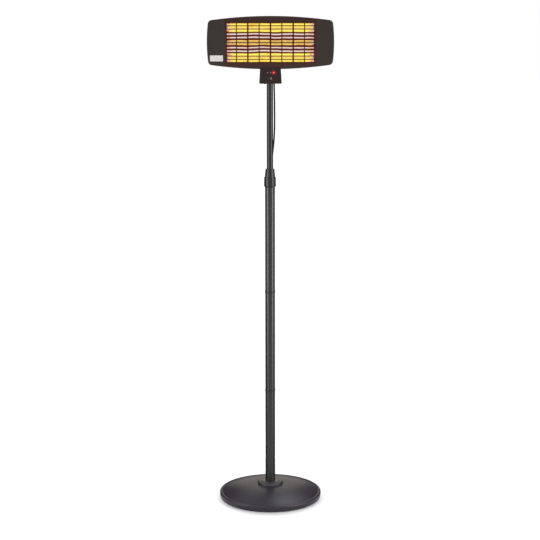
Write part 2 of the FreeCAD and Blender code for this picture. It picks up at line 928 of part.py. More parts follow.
def tilt_knob():
    """A hand knob with six lobes, on the bolt's threaded end."""
    start = V(knuckle_half_width + bracket_sheet + 2 * slip_gap, 0, tilt_z)
    end = start + X_WAY * knob_length
    body = rod(knob_radius - knob_lobe_radius / 2, start, end)
    lobes = []
    for k in range(knob_lobe_count):
        t = math.radians(360 * k / knob_lobe_count)
        out = V(0, math.cos(t), math.sin(t)) * (knob_radius - knob_lobe_radius)
        lobes.append(rod(knob_lobe_radius, start + out, end + out))
    hole_end = start + X_WAY * (knob_length - bracket_sheet + slip_gap)
    return joined(body, *lobes).cut(rod(tilt_bolt_radius + running_gap, start - X_WAY * overrun, hole_end))


def bracket_screws():
    screws = []
    for z in bracket_screw_heights():
        face = V(0, head_back + bracket_sheet, z)
        head = rod(bracket_screw_head_radius, face, face + Y_WAY * bracket_screw_head_height)
        shank_end = V(0, head_back - housing_wall - bracket_nut_height, z)
        screws.append(joined(head, rod(bracket_screw_radius, shank_end, face)))
    return group(screws)


def bracket_nuts():
    nuts = []
    for z in bracket_screw_heights():
        start = V(0, head_back - housing_wall, z)
        nut = hexagon(bracket_nut_radius, start, Y_WAY * -bracket_nut_height)
        hole = rod(bracket_screw_radius + running_gap, start + Y_WAY * overrun, start - Y_WAY * 2 * overrun)
        nuts.append(nut.cut(hole))
    return group(nuts)


def window_block(margin, y0, y1):
    half_width = window_half_width + margin
    half_height = window_half_height + margin
    solid = block(-half_width, half_width, y0, y1, head_z - half_height, head_z + half_height)
    return solid.makeFillet(window_corner_radius + margin, edges_along_y(solid))


def post_places():
    return [V(x, 0, head_z + z) for x in (-post_across, post_across) for z in (-post_up, post_up)]


def front_bezel():
    """The moulded front frame, with a lip around its window and posts for the housing's screws."""
    shell = barrel(0, head_front, bezel_back)
    shell = shell.makeFillet(bezel_edge_round, edges_at_depth(shell, head_front))
    shell = shell.cut(barrel(bezel_wall, head_front + bezel_wall, bezel_back + overrun))
    lip = window_block(lip_wall, head_front + bezel_wall / 2, lip_back)
    window = window_block(0, head_front - overrun, lip_back + overrun)
    posts = []
    holes = []
    post_end = head_back - housing_wall - seat_gap
    for at in post_places():
        start = at + Y_WAY * (head_front + bezel_wall / 2)
        end = at + Y_WAY * post_end
        hole_end = end - Y_WAY * housing_screw_length
        posts.append(rod(post_radius, start, end))
        holes.append(rod(housing_screw_radius + running_gap, hole_end, end + Y_WAY * overrun))
    return joined(shell, lip, *posts).cut(group([window, *holes]))


def lead_passage():
    """The block that opens the housing's floor and the control box's roof for the heater leads."""
    middle = (box_split + box_back) / 2
    half_width = lead_hole_half_width
    depth = lead_hole_half_depth
    low = box_top - 2 * box_wall
    return block(-half_width, half_width, middle - depth, middle + depth, low, box_top + 2 * overrun)


def rear_housing():
    mouth = bezel_back - housing_overlap
    floor = head_back - housing_wall
    outer = barrel(housing_inset, mouth, head_back)
    outer = outer.makeFillet(housing_edge_round, edges_at_depth(outer, head_back))
    inner = barrel(housing_inset + housing_wall, mouth - overrun, floor)
    inner = inner.makeFillet(housing_edge_round - housing_wall, edges_at_depth(inner, floor))
    cuts = [inner]
    for at in post_places():
        start = at + Y_WAY * (head_back - overrun)
        cuts.append(rod(housing_screw_radius + seat_gap, start, start + Y_WAY * 2 * overrun))
    return outer.cut(group([*cuts, *bracket_screw_holes(), lead_passage()]))


def housing_screws():
    screws = []
    for at in post_places():
        face = at + Y_WAY * head_back
        head = rod(housing_screw_head_radius, face, face + Y_WAY * housing_screw_head_height)
        rim = edges_at_depth(head, head_back + housing_screw_head_height)
        head = head.makeFillet(housing_screw_head_height / 3, rim)
        tip = at + Y_WAY * (head_back - housing_wall - housing_screw_length + overrun)
        screws.append(joined(head, rod(housing_screw_radius, tip, face)))
    return group(screws)


def badge_plate():
    """A bare plate on the bezel's lower left corner."""
    x = -badge_across
    z = head_z - badge_below_centre
    half_width = badge_width / 2
    half_height = badge_height / 2
    face = head_front - badge_thickness
    plate = block(x - half_width, x + half_width, face, head_front, z - half_height, z + half_height)
    return plate.makeFillet(badge_thickness, edges_along_y(plate))


def guard_rows():
    middle = (guard_wire_count - 1) / 2
    return [head_z + guard_wire_pitch * (k - middle) for k in range(guard_wire_count)]


def guard_columns():
    middle = (guard_rib_count - 1) / 2
    return [guard_rib_pitch * (k - middle) for k in range(guard_rib_count)]


def wire_guard():
    """The welded guard: wires with ends bent back into a frame, and flat ribs, each second one wider."""
    half_width = window_half_width - seat_gap
    half_height = window_half_height - seat_gap
    y0 = guard_frame_y
    y1 = guard_frame_y + guard_frame_bar
    bar = guard_frame_bar
    low = head_z - half_height
    high = head_z + half_height
    frame = block(-half_width, half_width, y0, y1, low, high)
    frame = frame.makeFillet(window_corner_radius, edges_along_y(frame))
    hole = block(-half_width + bar, half_width - bar, y0 - overrun, y1 + overrun, low + bar, high - bar)
    frame = frame.cut(hole)
    end_x = half_width - bar / 2
    end_y = (y0 + y1) / 2
    pieces = []
    corners = [(-end_x, end_y), (-end_x, guard_wire_y), (end_x, guard_wire_y), (end_x, end_y)]
    for z in guard_rows():
        points = [(x, y, z) for x, y in corners]
        pieces.append(swept(round_path(points)[0], guard_wire_radius, V(*points[0]), Y_WAY * -1))
    rib_back = guard_rib_y + guard_rib_thickness
    leg = guard_rib_thickness
    for k, x in enumerate(guard_columns()):
        half_rib = (guard_main_rib_width if k % 2 else guard_rib_width) / 2
        rib = block(x - half_rib, x + half_rib, guard_rib_y, rib_back, low, high)
        low_leg = block(x - half_rib, x + half_rib, guard_rib_y, y0 + bar / 2, low, low + leg)
        high_leg = block(x - half_rib, x + half_rib, guard_rib_y, y0 + bar / 2, high - leg, high)
        pieces.append(joined(rib, low_leg, high_leg))
    return joined(frame, *pieces)


def heater_rows():
    middle = (heater_count - 1) / 2
    return [head_z + heater_pitch * (middle - k) for k in range(heater_count)]


def quartz_tube(z):
    inner = glass_radius - glass_wall
    return pipe(glass_radius, inner, V(-glass_half_length, heater_y, z), V(glass_half_length, heater_y, z))


def heating_coil(z):
    """The close-wound wire, as a rod of the winding's outer size, with a pin at each end."""
    winding = rod(coil_radius, V(-coil_half_length, heater_y, z), V(coil_half_length, heater_y, z))
    pins = rod(coil_pin_radius, V(-ceramic_outer_end, heater_y, z), V(ceramic_outer_end, heater_y, z))
    return joined(winding, pins)


def ceramic_holders():
    holders = []
    seat_end = glass_half_length + seat_gap
    for z in heater_rows():
        for side in (-1, 1):
            inner = V(side * ceramic_inner_end, heater_y, z)
            outer = V(side * ceramic_outer_end, heater_y, z)
            past = X_WAY * side * overrun
            seat = rod(glass_radius + seat_gap, inner - past, V(side * seat_end, heater_y, z))
            pin_hole = rod(coil_pin_radius + seat_gap, inner, outer + past)
            holders.append(rod(ceramic_radius, inner, outer).cut(group([seat, pin_hole])))
    return group(holders)


def reflector_outline():
    """Corners of the bent sheet from top to bottom, as (depth, height over the head's middle)."""
    mouth = trough_mouth_y
    floor = trough_mouth_y + trough_depth
    top_edge = heater_pitch * (heater_count - 1) / 2 + trough_half_width
    corners = [(lip_back + slip_gap, top_edge)]
    for z in heater_rows():
        middle = z - head_z
        corners.append((mouth, middle + trough_half_width))
        corners.append((floor, middle + trough_floor_half_width))
        corners.append((floor, middle - trough_floor_half_width))
        corners.append((mouth, middle - trough_half_width))
    corners.append((lip_back + slip_gap, -top_edge))
    return corners


def reflector():
    """One bright sheet, bent into a trough behind each tube."""
    half = reflector_half_length
    front = [V(0, y, head_z + z) for y, z in reflector_outline()]
    top = front[0] + V(0, 0, reflector_sheet)
    bottom = front[-1] - V(0, 0, reflector_sheet)
    shift = V(0, reflector_sheet, 0)
    back_top = front[1] + V(0, reflector_sheet, reflector_sheet)
    back_bottom = front[-2] + V(0, reflector_sheet, -reflector_sheet)
    back = [p + shift for p in front[2:-2]]
    outline = front + [bottom, back_bottom] + back[::-1] + [back_top, top]
    return sheet_between(outline, V(-half, 0, 0), V(2 * half, 0, 0))


def reflector_cheek(side):
    """The plate that closes one end of the reflector and carries three ceramic holders."""
    half_height = heater_pitch * (heater_count - 1) / 2 + trough_half_width
    x0 = side * (reflector_half_length + seat_gap)
    x1 = x0 + side * cheek_thickness
    y1 = trough_mouth_y + trough_depth + cheek_back_margin
    plate = block(x0, x1, lip_back + slip_gap, y1, head_z - half_height, head_z + half_height)
    holes = []
    for z in heater_rows():
        start = V(x0 - side * overrun, heater_y, z)
        end = V(x1 + side * overrun, heater_y, z)
        holes.append(rod(ceramic_radius + seat_gap, start, end))
    return plate.cut(group(holes))


def lamp_places():
    z = box_top - lamp_below_top
    return [V(lamp_pitch * k, 0, z) for k in (-1, 0, 1)]


def board_posts():
    x = board_half_width - board_post_inset
    high = box_top - board_margin - board_post_inset
    low = box_floor + board_margin + board_post_inset
    return [V(across, 0, z) for across in (-x, x) for z in (low, high)]


def control_box_front():
    """The panel and side walls, with a tab that laps over the bezel's lower edge."""
    shell = box_prism(0, box_front, box_split)
    shell = shell.makeFillet(box_edge_round, edges_at_depth(shell, box_front))
    shell = shell.cut(box_prism(box_wall, panel_back, box_split + overrun))
    tab_back = box_front + box_lip_thickness
    tab_half = box_top_half_width - box_edge_round
    tab_low = box_top - 2 * box_edge_round
    tab = block(-tab_half, tab_half, box_front, tab_back, tab_low, box_top + box_lip_height)
    post_start = Y_WAY * (box_front + box_wall / 2)
    post_end = Y_WAY * (board_front - seat_gap)
    posts = [rod(board_post_radius, at + post_start, at + post_end) for at in board_posts()]
    through = Y_WAY * (box_wall + 2 * overrun)
    start = Y_WAY * (box_front - overrun)
    cuts = [rod(lamp_radius + seat_gap, at + start, at + start + through) for at in lamp_places()]
    button_at = V(button_across, 0, box_top - button_below_top) + start
    cuts.append(rod(button_radius + slip_gap, button_at, button_at + through))
    half_width = sensor_width / 2 + seat_gap
    half_height = sensor_height / 2 + seat_gap
    z = box_top - sensor_below_top
    x = sensor_across
    y0 = box_front - overrun
    y1 = panel_back + overrun
    cuts.append(block(x - half_width, x + half_width, y0, y1, z - half_height, z + half_height))
    floor_at = V(plug_button_across, box_split - plug_button_setback, box_floor - overrun)
    floor_end = floor_at + Z_WAY * (box_wall + 2 * overrun)
    cuts.append(rod(plug_button_radius - plug_button_flange, floor_at, floor_end))
    return joined(shell, tab, *posts).cut(group(cuts))


def box_screw_places():
    low = box_floor + box_screw_inset
    high = box_top - box_screw_inset
    x = box_top_half_width - box_screw_inset
    return [V(across, 0, z) for across in (-x, x) for z in (low, high)]


def control_box_back():
    shell = box_prism(0, box_split + seat_gap, box_back)
    shell = shell.makeFillet(box_edge_round, edges_at_depth(shell, box_back))
    shell = shell.cut(box_prism(box_wall, box_split - overrun, box_back - box_wall))
    start = Y_WAY * (box_back - box_wall - overrun)
    through = Y_WAY * (box_wall + 2 * overrun)
    gland_at = V(gland_across, 0, gland_z) + start
    cuts = [rod(gland_shank_radius + seat_gap, gland_at, gland_at + through)]
    for at in box_screw_places():
        cuts.append(rod(box_screw_radius + seat_gap, at + start, at + start + through))
    return shell.cut(group([*cuts, lead_passage()]))


def box_screws():
    screws = []
    for at in box_screw_places():
        face = at + Y_WAY * box_back
        head = rod(box_screw_head_radius, face, face + Y_WAY * box_screw_head_height)
        screws.append(joined(head, rod(box_screw_radius, face - Y_WAY * box_screw_length, face)))
    return group(screws)


def lamp(at):
    """A round lens with a flange behind the panel."""
    front = at + Y_WAY * (box_front - lamp_standout)
    lens = rod(lamp_radius, front, front + Y_WAY * lamp_length)
    lens = lens.makeFillet(lamp_standout / 2, edges_at_depth(lens, box_front - lamp_standout))
    flange_at = at + Y_WAY * (panel_back + seat_gap)
    return joined(lens, rod(lamp_flange_radius, flange_at, flange_at + Y_WAY * lamp_flange_thickness))


def power_button():
    at = V(button_across, 0, box_top - button_below_top)
    front = at + Y_WAY * (box_front - button_standout)
    flange_at = at + Y_WAY * (panel_back + slip_gap)
    cap = rod(button_radius, front, flange_at)
    cap = cap.makeFillet(button_standout / 3, edges_at_depth(cap, box_front - button_standout))
    flange_end = flange_at + Y_WAY * button_flange_thickness
    flange = rod(button_flange_radius, flange_at, flange_end)
    stem = rod(button_stem_radius, flange_end, flange_end + Y_WAY * button_stem_length)
    return joined(cap, flange, stem)


def button_switch():
    """The push switch on the board, whose face the button's stem meets at the end of its travel."""
    half = button_radius / 2
    z = box_top - button_below_top
    flange_end = panel_back + slip_gap + button_flange_thickness
    face = flange_end + button_stem_length + button_travel + seat_gap
    return block(button_across - half, button_across + half, face, board_front, z - half, z + half)


def sensor_window():
    half_width = sensor_width / 2
    half_height = sensor_height / 2
    z = box_top - sensor_below_top
    y0 = box_front - sensor_standout
    x = sensor_across
    return block(x - half_width, x + half_width, y0, y0 + sensor_length, z - half_height, z + half_height)


def control_board():
    low = box_floor + board_margin
    high = box_top - board_margin
    return block(-board_half_width, board_half_width, board_front, board_front + board_thickness, low, high)


def relays():
    """One relay for each heating tube, on the back of the board."""
    back = board_front + board_thickness
    middle = (box_floor + box_top) / 2
    half = relay_height / 2
    starts = [relay_pitch * k - relay_width / 2 for k in (-1, 0, 1)]
    low = middle - half
    high = middle + half
    return group([block(x, x + relay_width, back, back + relay_depth, low, high) for x in starts])


def terminal_block():
    y1 = box_back - box_wall - seat_gap
    z1 = box_top - terminal_below_top
    half = terminal_width / 2
    return block(-half, half, y1 - terminal_depth, y1, z1 - terminal_height, z1)


def tip_over_switch():
    y1 = box_back - box_wall - seat_gap
    z0 = box_floor + box_wall + tip_switch_over_floor
    half = tip_switch_width / 2
    x = tip_switch_across
    return block(x - half, x + half, y1 - tip_switch_depth, y1, z0, z0 + tip_switch_height)


def thermal_cutout():
    y1 = head_back - housing_wall - seat_gap
    at = V(cutout_across, y1, head_z - cutout_below_centre)
    return rod(cutout_radius, at, at - Y_WAY * cutout_height)


def blanking_plug():
    """The round plug that shows under the box's left side."""
    at = V(plug_button_across, box_split - plug_button_setback, box_floor)
    stem_radius = plug_button_radius - plug_button_flange
    cap = cone(stem_radius, plug_button_radius, at - Z_WAY * plug_button_standout, at)
    stem = rod(stem_radius - seat_gap, at, at + Z_WAY * (box_wall + plug_button_flange))
    return joined(cap, stem)


def heater_leads():
    """Six insulated leads from the tubes' end pins, down behind the reflector, to the terminal block."""
    top = box_top - terminal_below_top
    lead_y = (box_split + box_back) / 2
    side_x = ceramic_outer_end + lead_side_gap
    leads = []
    for side in (-1, 1):
        for k, z in enumerate(heater_rows()):
            depth = -lead_first_depth - lead_depth_step * k
            low = head_z - lead_first_drop - lead_drop_step * k
            across = side * (lead_first_across + lead_across_step * k)
            points = [
                (side * ceramic_outer_end, heater_y, z),
                (side * side_x, heater_y, z),
                (side * side_x, depth, z),
                (side * side_x, depth, low),
                (across, depth, low),
                (across, lead_y, box_top),
                (across, lead_y, top),
            ]
            leads.append(swept(round_path(points)[0], lead_radius, V(*points[0]), X_WAY * side))
    return group(leads)


def cord_gland():
    face = V(gland_across, box_back, gland_z)
    nut = hexagon(gland_radius, face, Y_WAY * gland_length)
    shank = rod(gland_shank_radius, face - Y_WAY * (box_wall + gland_lock_nut_height), face)
    inner_face = face - Y_WAY * (box_wall + seat_gap)
    inner = rod(gland_radius, inner_face, inner_face - Y_WAY * (gland_lock_nut_height - seat_gap))
    bore = rod(relief_root_radius + seat_gap, face - Y_WAY * 2 * overrun, face + Y_WAY * 2 * overrun)
    return joined(nut, shank, inner).cut(bore)


def strain_relief():
    face = V(gland_across, box_back, gland_z)
    root = face - Y_WAY * relief_root_length
    bend = face + Y_WAY * gland_length
    tip = bend + Y_WAY * relief_length
    taper = cone(relief_root_radius, relief_tip_radius, bend, tip)
    return joined(rod(relief_root_radius, root, bend), taper)


def cord_clips():
    """Three clips on the back of the pole, each with a mouth that the cord is pushed into."""
    clips = []
    depth = clip_cord_depth
    bore = cord_radius + clip_room
    past = Z_WAY * overrun
    for z in (clip_low_height, clip_middle_height, clip_high_height):
        low = V(0, depth, z - clip_length / 2)
        high = V(0, depth, z + clip_length / 2)
        pad_half = clip_pad_half_width
        mouth_half = clip_mouth / 2
        hold = rod(bore + clip_wall, low, high)
        pad = block(-pad_half, pad_half, 0, depth - cord_radius, low.z, high.z)
        pole = rod(pole_radius + seat_gap, V(0, 0, low.z - overrun), V(0, 0, high.z + overrun))
        room = rod(bore, low - past, high + past)
        mouth_end = depth + 2 * overrun
        mouth = block(-mouth_half, mouth_half, depth, mouth_end, low.z - overrun, high.z + overrun)
        clips.append(joined(hold, pad).cut(group([pole, room, mouth])))
    return group(clips)


def hank_marks():
    """Points and directions along the hank: level folds, and runs that step across and draw in."""
    near = hank_near_depth
    far = near + hank_run
    middle = (near + far) / 2
    low = cord_bottom_z
    high = low + 2 * hank_fold_radius
    step = hank_step
    onward = V(step, hank_run, 0).normalize()
    homeward = V(step, -hank_run, 0).normalize()
    x = hank_first_across
    marks = [(V(x, near - 2 * cord_radius, low), Y_WAY)]
    for _ in range(hank_loops):
        marks.append((V(x, near, low), Y_WAY))
        marks.append((V(x + step / 2, middle, low + hank_bottom_lift), onward))
        x += step
        marks.append((V(x, far, low), Y_WAY))
        marks.append((V(x, far + hank_fold_radius, low + hank_fold_radius), Z_WAY))
        marks.append((V(x, far, high), Y_WAY * -1))
        marks.append((V(x + step / 2, middle, high - hank_top_dip), homeward))
        x += step
        marks.append((V(x, near, high), Y_WAY * -1))
        marks.append((V(x, near - hank_fold_radius, low + hank_fold_radius), Z_WAY * -1))
    marks.append((V(x, near, low), Y_WAY))
    marks.append((V(x + step / 2, middle, low + hank_bottom_lift), onward))
    marks.append((V(x + step, far, low), Y_WAY))
    marks.append((V(x + step, far + 2 * cord_radius, low), Y_WAY))
    return marks


def least_self_gap(path, radius):
    """The least gap between two parts of a tube that aren't neighbours along it, measured on points."""
    spacing = radius
    points = path.discretize(Distance=spacing)
    skip = int(math.pi * radius * 3 / spacing)
    least = path.Length
    for i, p in enumerate(points):
        for q in points[i + skip :]:
            least = min(least, p.distanceToPoint(q))
    return least - 2 * radius


def cord_hank():
    marks = hank_marks()
    edges = []
    for (start, start_way), (end, end_way) in zip(marks, marks[1:]):
        edges += biarc(start, start_way, end, end_way)
    path = Part.Wire(Part.__sortEdges__(edges))
    tube = swept(path, cord_radius, marks[0][0], marks[0][1])
    gap = least_self_gap(path, cord_radius)
    print(f"cord_hank: {path.Length:.1f} mm long, least gap to itself {gap:.2f} mm")
    return tube


def hank_tie():
    """A strap round the hank's waist."""
    middle = hank_near_depth + hank_run / 2
    strands = 2 * hank_loops
    left = hank_first_across - cord_radius - tie_gap + hank_step / 2
    right = hank_first_across + hank_step * strands + hank_step / 2 + cord_radius + tie_gap
    low = cord_bottom_z + hank_bottom_lift - cord_radius - tie_gap
    high = cord_bottom_z + 2 * hank_fold_radius - hank_top_dip + cord_radius + tie_gap
    y0 = middle - tie_width / 2
    y1 = middle + tie_width / 2
    t = tie_thickness
    outer = block(left - t, right + t, y0, y1, low - t, high + t)
    outer = outer.makeFillet(tie_corner_radius, edges_along_y(outer))
    inner = block(left, right, y0 - overrun, y1 + overrun, low, high)
    inner = inner.makeFillet(tie_corner_radius - t, edges_along_y(inner))
    return outer.cut(inner)


def plug_body():
    """A straight moulded plug that lies on its side, with its own short strain relief."""
    entry = V(plug_across, plug_entry_depth, plug_entry_height)
    neck = entry + Y_WAY * plug_relief_length
    shoulder = neck + Y_WAY * plug_taper_length
    face = shoulder + Y_WAY * plug_body_length
    relief = cone(cord_radius + plug_pin_radius / 3, plug_relief_radius, entry, neck)
    taper = cone(plug_neck_radius, plug_face_radius, neck, shoulder)
    return joined(relief, taper, rod(plug_face_radius, shoulder, face))


def plug_pins():
    depth = plug_entry_depth + plug_relief_length + plug_taper_length + plug_body_length
    pins = []
    for side in (-1, 1):
        start = V(plug_across + side * plug_pin_half_pitch, depth, plug_entry_height)
        pin = rod(plug_pin_radius, start, start + Y_WAY * plug_pin_length)
        pins.append(pin.makeFillet(plug_pin_radius / 2, edges_at_depth(pin, depth + plug_pin_length)))
    return group(pins)


def all_nodes():
    rows = heater_rows()
    lamps = [lamp(at) for at in lamp_places()]
    return {
        "base_cover": base_cover(),
        "base_weight": base_weight(),
        "base_plate": base_plate(),
        "rubber_feet": rubber_feet(),
        "base_bolt": base_bolt(),
        "base_washer": base_washer(),
        "pole_socket": pole_socket(),
        "socket_trim": socket_trim(),
        "lower_tube": pole_tube(socket_face, lower_tube_top),
        "lower_joint": tube_joint(lower_tube_top),
        "middle_tube": pole_tube(middle_tube_bottom, middle_tube_top),
        "upper_joint": tube_joint(middle_tube_top),
        "top_tube": pole_tube(top_tube_bottom, pole_top),
        "collar_socket": collar_socket(),
        "collet": collet(),
        "lock_nut": lock_nut(),
        "upper_tube": upper_tube(),
        "mast_guide": mast_guide(),
        "tilt_knuckle": tilt_knuckle(),
        "tilt_bracket": tilt_bracket(),
        "bracket_screws": bracket_screws(),
        "bracket_nuts": bracket_nuts(),
        "tilt_bolt": tilt_bolt(),
        "tilt_knob": tilt_knob(),
        "front_bezel": front_bezel(),
        "rear_housing": rear_housing(),
        "housing_screws": housing_screws(),
        "badge_plate": badge_plate(),
        "wire_guard": wire_guard(),
        "quartz_tubes": group([quartz_tube(z) for z in rows]),
        "heating_coils": group([heating_coil(z) for z in rows]),
        "ceramic_holders": ceramic_holders(),
        "reflector": reflector(),
        "reflector_cheeks": group([reflector_cheek(-1), reflector_cheek(1)]),
        "control_box_front": control_box_front(),
        "control_box_back": control_box_back(),
        "box_screws": box_screws(),
        "indicator_lenses": group(lamps[:2]),
        "lit_indicator": lamps[2],
        "power_button": power_button(),
        "button_switch": button_switch(),
        "sensor_window": sensor_window(),
        "control_board": control_board(),
        "relays": relays(),
        "terminal_block": terminal_block(),
        "tip_over_switch": tip_over_switch(),
        "thermal_cutout": thermal_cutout(),
        "blanking_plug": blanking_plug(),
        "heater_leads": heater_leads(),
        "cord_gland": cord_gland(),
        "strain_relief": strain_relief(),
        "cord_clips": cord_clips(),
        "cord_head_stretch": cord_tube("cord_head_stretch", cord_head_route),
        "cord_mast_stretch": cord_tube("cord_mast_stretch", cord_mast_route),
        "cord_pole_run": cord_tube("cord_pole_run", cord_pole_route),
        "cord_hank": cord_hank(),
        "cord_tail": cord_tube("cord_tail", cord_tail_route),
        "hank_tie": hank_tie(),
        "plug_body": plug_body(),
        "plug_pins": plug_pins(),
    }


os.makedirs("parts", exist_ok=True)
for name, shape in all_nodes().items():
    shape.exportStep("parts/" + name + ".step")
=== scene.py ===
import json
import math

import bpy
from mathutils import Matrix, Vector


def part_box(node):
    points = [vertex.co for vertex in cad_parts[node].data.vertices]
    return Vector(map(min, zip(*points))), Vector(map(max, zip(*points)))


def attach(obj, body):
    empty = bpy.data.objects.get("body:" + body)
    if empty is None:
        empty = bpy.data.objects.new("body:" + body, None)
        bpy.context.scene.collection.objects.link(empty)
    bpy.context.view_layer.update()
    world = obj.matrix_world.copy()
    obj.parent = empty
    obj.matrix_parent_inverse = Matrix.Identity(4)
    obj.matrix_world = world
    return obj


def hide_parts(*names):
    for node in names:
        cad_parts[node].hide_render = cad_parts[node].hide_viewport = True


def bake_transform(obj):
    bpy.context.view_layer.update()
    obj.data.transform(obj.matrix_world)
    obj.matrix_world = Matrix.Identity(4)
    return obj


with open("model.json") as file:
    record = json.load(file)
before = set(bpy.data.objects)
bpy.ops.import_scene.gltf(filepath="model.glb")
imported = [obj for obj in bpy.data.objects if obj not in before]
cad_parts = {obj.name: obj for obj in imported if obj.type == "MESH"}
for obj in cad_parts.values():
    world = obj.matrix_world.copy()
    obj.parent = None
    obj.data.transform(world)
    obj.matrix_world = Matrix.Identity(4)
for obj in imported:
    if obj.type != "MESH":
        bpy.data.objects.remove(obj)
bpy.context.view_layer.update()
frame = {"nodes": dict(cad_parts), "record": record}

# The camera: level with the head's middle, a little to the left, aimed at the middle of the whole heater
camera_place = (-0.15, -5.45, 1.9103)
camera_pitch = 9.697
camera_turn = -1.573
camera_roll = -0.07
camera_lens = 88.7
camera_sensor = 36.0

# The mains cord, in metres: the same points as the solids follow, then the hank's turns
cord_radius = 0.0033
cord_head_route = [
    (0.0186, -0.0100, 1.7650),
    (0.0186, 0.0140, 1.7650),
    (0.0186, 0.0340, 1.7560),
    (0.0189, 0.0470, 1.7380),
    (0.0196, 0.0515, 1.7120),
    (0.0204, 0.0510, 1.6770),
    (0.0206, 0.0475, 1.6335),
    (0.0206, 0.04525, 1.6045),
]
cord_mast_route = [
    (0.0206, 0.04525, 1.6045),
    (0.0206, 0.0430, 1.5755),
    (0.0189, 0.0396, 1.5270),
    (0.0149, 0.0372, 1.4845),
    (0.0097, 0.0358, 1.4440),
    (0.0051, 0.0349, 1.3970),
    (0.0020, 0.0345, 1.3320),
    (0.0004, 0.0332, 1.2520),
    (-0.0005, 0.0309, 1.1730),
    (-0.0006, 0.0285, 1.0950),
    (-0.0002, 0.0261, 1.0220),
    (-0.00006, 0.0254, 0.9710),
]
cord_pole_route = [
    (-0.00006, 0.0254, 0.9710),
    (0.0000, 0.0251, 0.9490),
    (0.0001, 0.0283, 0.9180),
    (0.0004, 0.0317, 0.8850),
    (0.0008, 0.0321, 0.8240),
    (0.0008, 0.0311, 0.7390),
    (0.0005, 0.0289, 0.6640),
    (0.0002, 0.0265, 0.6010),
    (0.0000, 0.0251, 0.5460),
    (-0.0001, 0.0283, 0.5090),
    (-0.0004, 0.0313, 0.4650),
    (-0.0008, 0.0319, 0.4060),
    (-0.0009, 0.0311, 0.3410),
    (-0.0006, 0.0291, 0.2750),
    (-0.0002, 0.0267, 0.2120),
    (0.0000, 0.0251, 0.1550),
    (-0.0001, 0.0285, 0.1180),
    (-0.0004, 0.0400, 0.0885),
    (-0.0009, 0.0610, 0.0714),
    (-0.0014, 0.0880, 0.0620),
    (-0.0020, 0.1180, 0.0566),
    (-0.0027, 0.1500, 0.0492),
    (-0.0033, 0.1830, 0.0406),
    (-0.0038, 0.2075, 0.0372),
    (-0.0039, 0.2260, 0.0309),
    (-0.0040, 0.2400, 0.0160),
    (-0.0040, 0.2542, 0.0066),
    (-0.0040, 0.2685, 0.0035),
    (-0.0040, 0.2767, 0.0035),
]
cord_tail_route = [
    (0.0212, 0.3499, 0.0035),
    (0.0212, 0.3578, 0.0035),
    (0.0202, 0.3725, 0.0056),
    (0.0172, 0.3865, 0.0108),
    (0.0142, 0.4005, 0.0156),
    (0.0127, 0.4140, 0.0178),
    (0.0124, 0.4270, 0.0182),
]
hank_loops = 3
hank_fold_radius = 0.0198
hank_near = 0.2833
hank_far = 0.3433
hank_step = 0.0036
hank_first_across = -0.0040
hank_low = 0.0035
hank_top_dip = 0.014
hank_bottom_lift = 0.0028


def between(start, end, share):
    return start + (end - start) * share


def add_object(name, data):
    piece = bpy.data.objects.new(name, data)
    bpy.context.scene.collection.objects.link(piece)
    return piece


def make_camera():
    data = bpy.data.cameras.new("camera")
    data.lens = camera_lens
    data.sensor_width = camera_sensor
    camera = add_object("camera", data)
    turn = Matrix.Rotation(math.radians(camera_turn), 4, "Z")
    lift = Matrix.Rotation(math.radians(90 - camera_pitch), 4, "X")
    roll = Matrix.Rotation(math.radians(camera_roll), 4, "Z")
    camera.matrix_world = Matrix.Translation(camera_place) @ turn @ lift @ roll
    bpy.context.scene.camera = camera


make_camera()


# Cords
def nurbs(name, points):
    """An open NURBS curve of third order with these control points."""
    data = bpy.data.curves.new(name, "CURVE")
    data.dimensions = "3D"
    spline = data.splines.new("NURBS")
    spline.points.add(len(points) - 1)
    for point, place in zip(spline.points, points):
        point.co = (*place, 1)
    spline.order_u = 3
    spline.use_endpoint_u = True
    data.resolution_u = 10
    return add_object(name, data)


def line_along(points):
    """Points read from the NURBS line with these control points."""
    guide = nurbs("guide", points)
    bpy.context.view_layer.update()
    mesh = bpy.data.meshes.new_from_object(guide)
    line = [v.co.copy() for v in mesh.vertices]
    bpy.data.meshes.remove(mesh)
    bpy.data.objects.remove(guide)
    return line


def tube(name, line, radius, sides=16, radii=None):
    """A closed mesh tube along a line of points."""
    verts = []
    faces = []
    way = (line[1] - line[0]).normalized()
    side = way.orthogonal().normalized()
    for i, at in enumerate(line):
        before = line[max(i - 1, 0)]
        after = line[min(i + 1, len(line) - 1)]
        new_way = (after - before).normalized()
        side = way.rotation_difference(new_way) @ side
        side = (side - new_way * side.dot(new_way)).normalized()
        way = new_way
        up = way.cross(side)
        r = radii[i] if radii else radius
        for k in range(sides):
            turn = 2 * math.pi * k / sides
            verts.append(at + (side * math.cos(turn) + up * math.sin(turn)) * r)
    for i in range(len(line) - 1):
        for k in range(sides):
            a = i * sides + k
            b = i * sides + (k + 1) % sides
            faces.append((a, b, b + sides, a + sides))
    faces.append(tuple(reversed(range(sides))))
    faces.append(tuple(range(len(verts) - sides, len(verts))))
    return mesh_piece(name, verts, faces)


def mesh_piece(name, verts, faces, smooth=True):
    mesh = bpy.data.meshes.new(name)
    mesh.from_pydata(verts, [], faces)
    mesh.update()
    if smooth:
        mesh.shade_smooth()
    return add_object(name, mesh)


def fold_points(x, y, height, facing):
    """Control points round a half circle, facing 1 away from the heater or -1 towards it."""
    count = 4
    reach = hank_fold_radius / math.cos(math.pi / count / 2)
    places = []
    for k in range(count):
        turn = math.pi * (k + 0.5) / count
        places.append((x, y + facing * reach * math.sin(turn), height - facing * reach * math.cos(turn)))
    return places


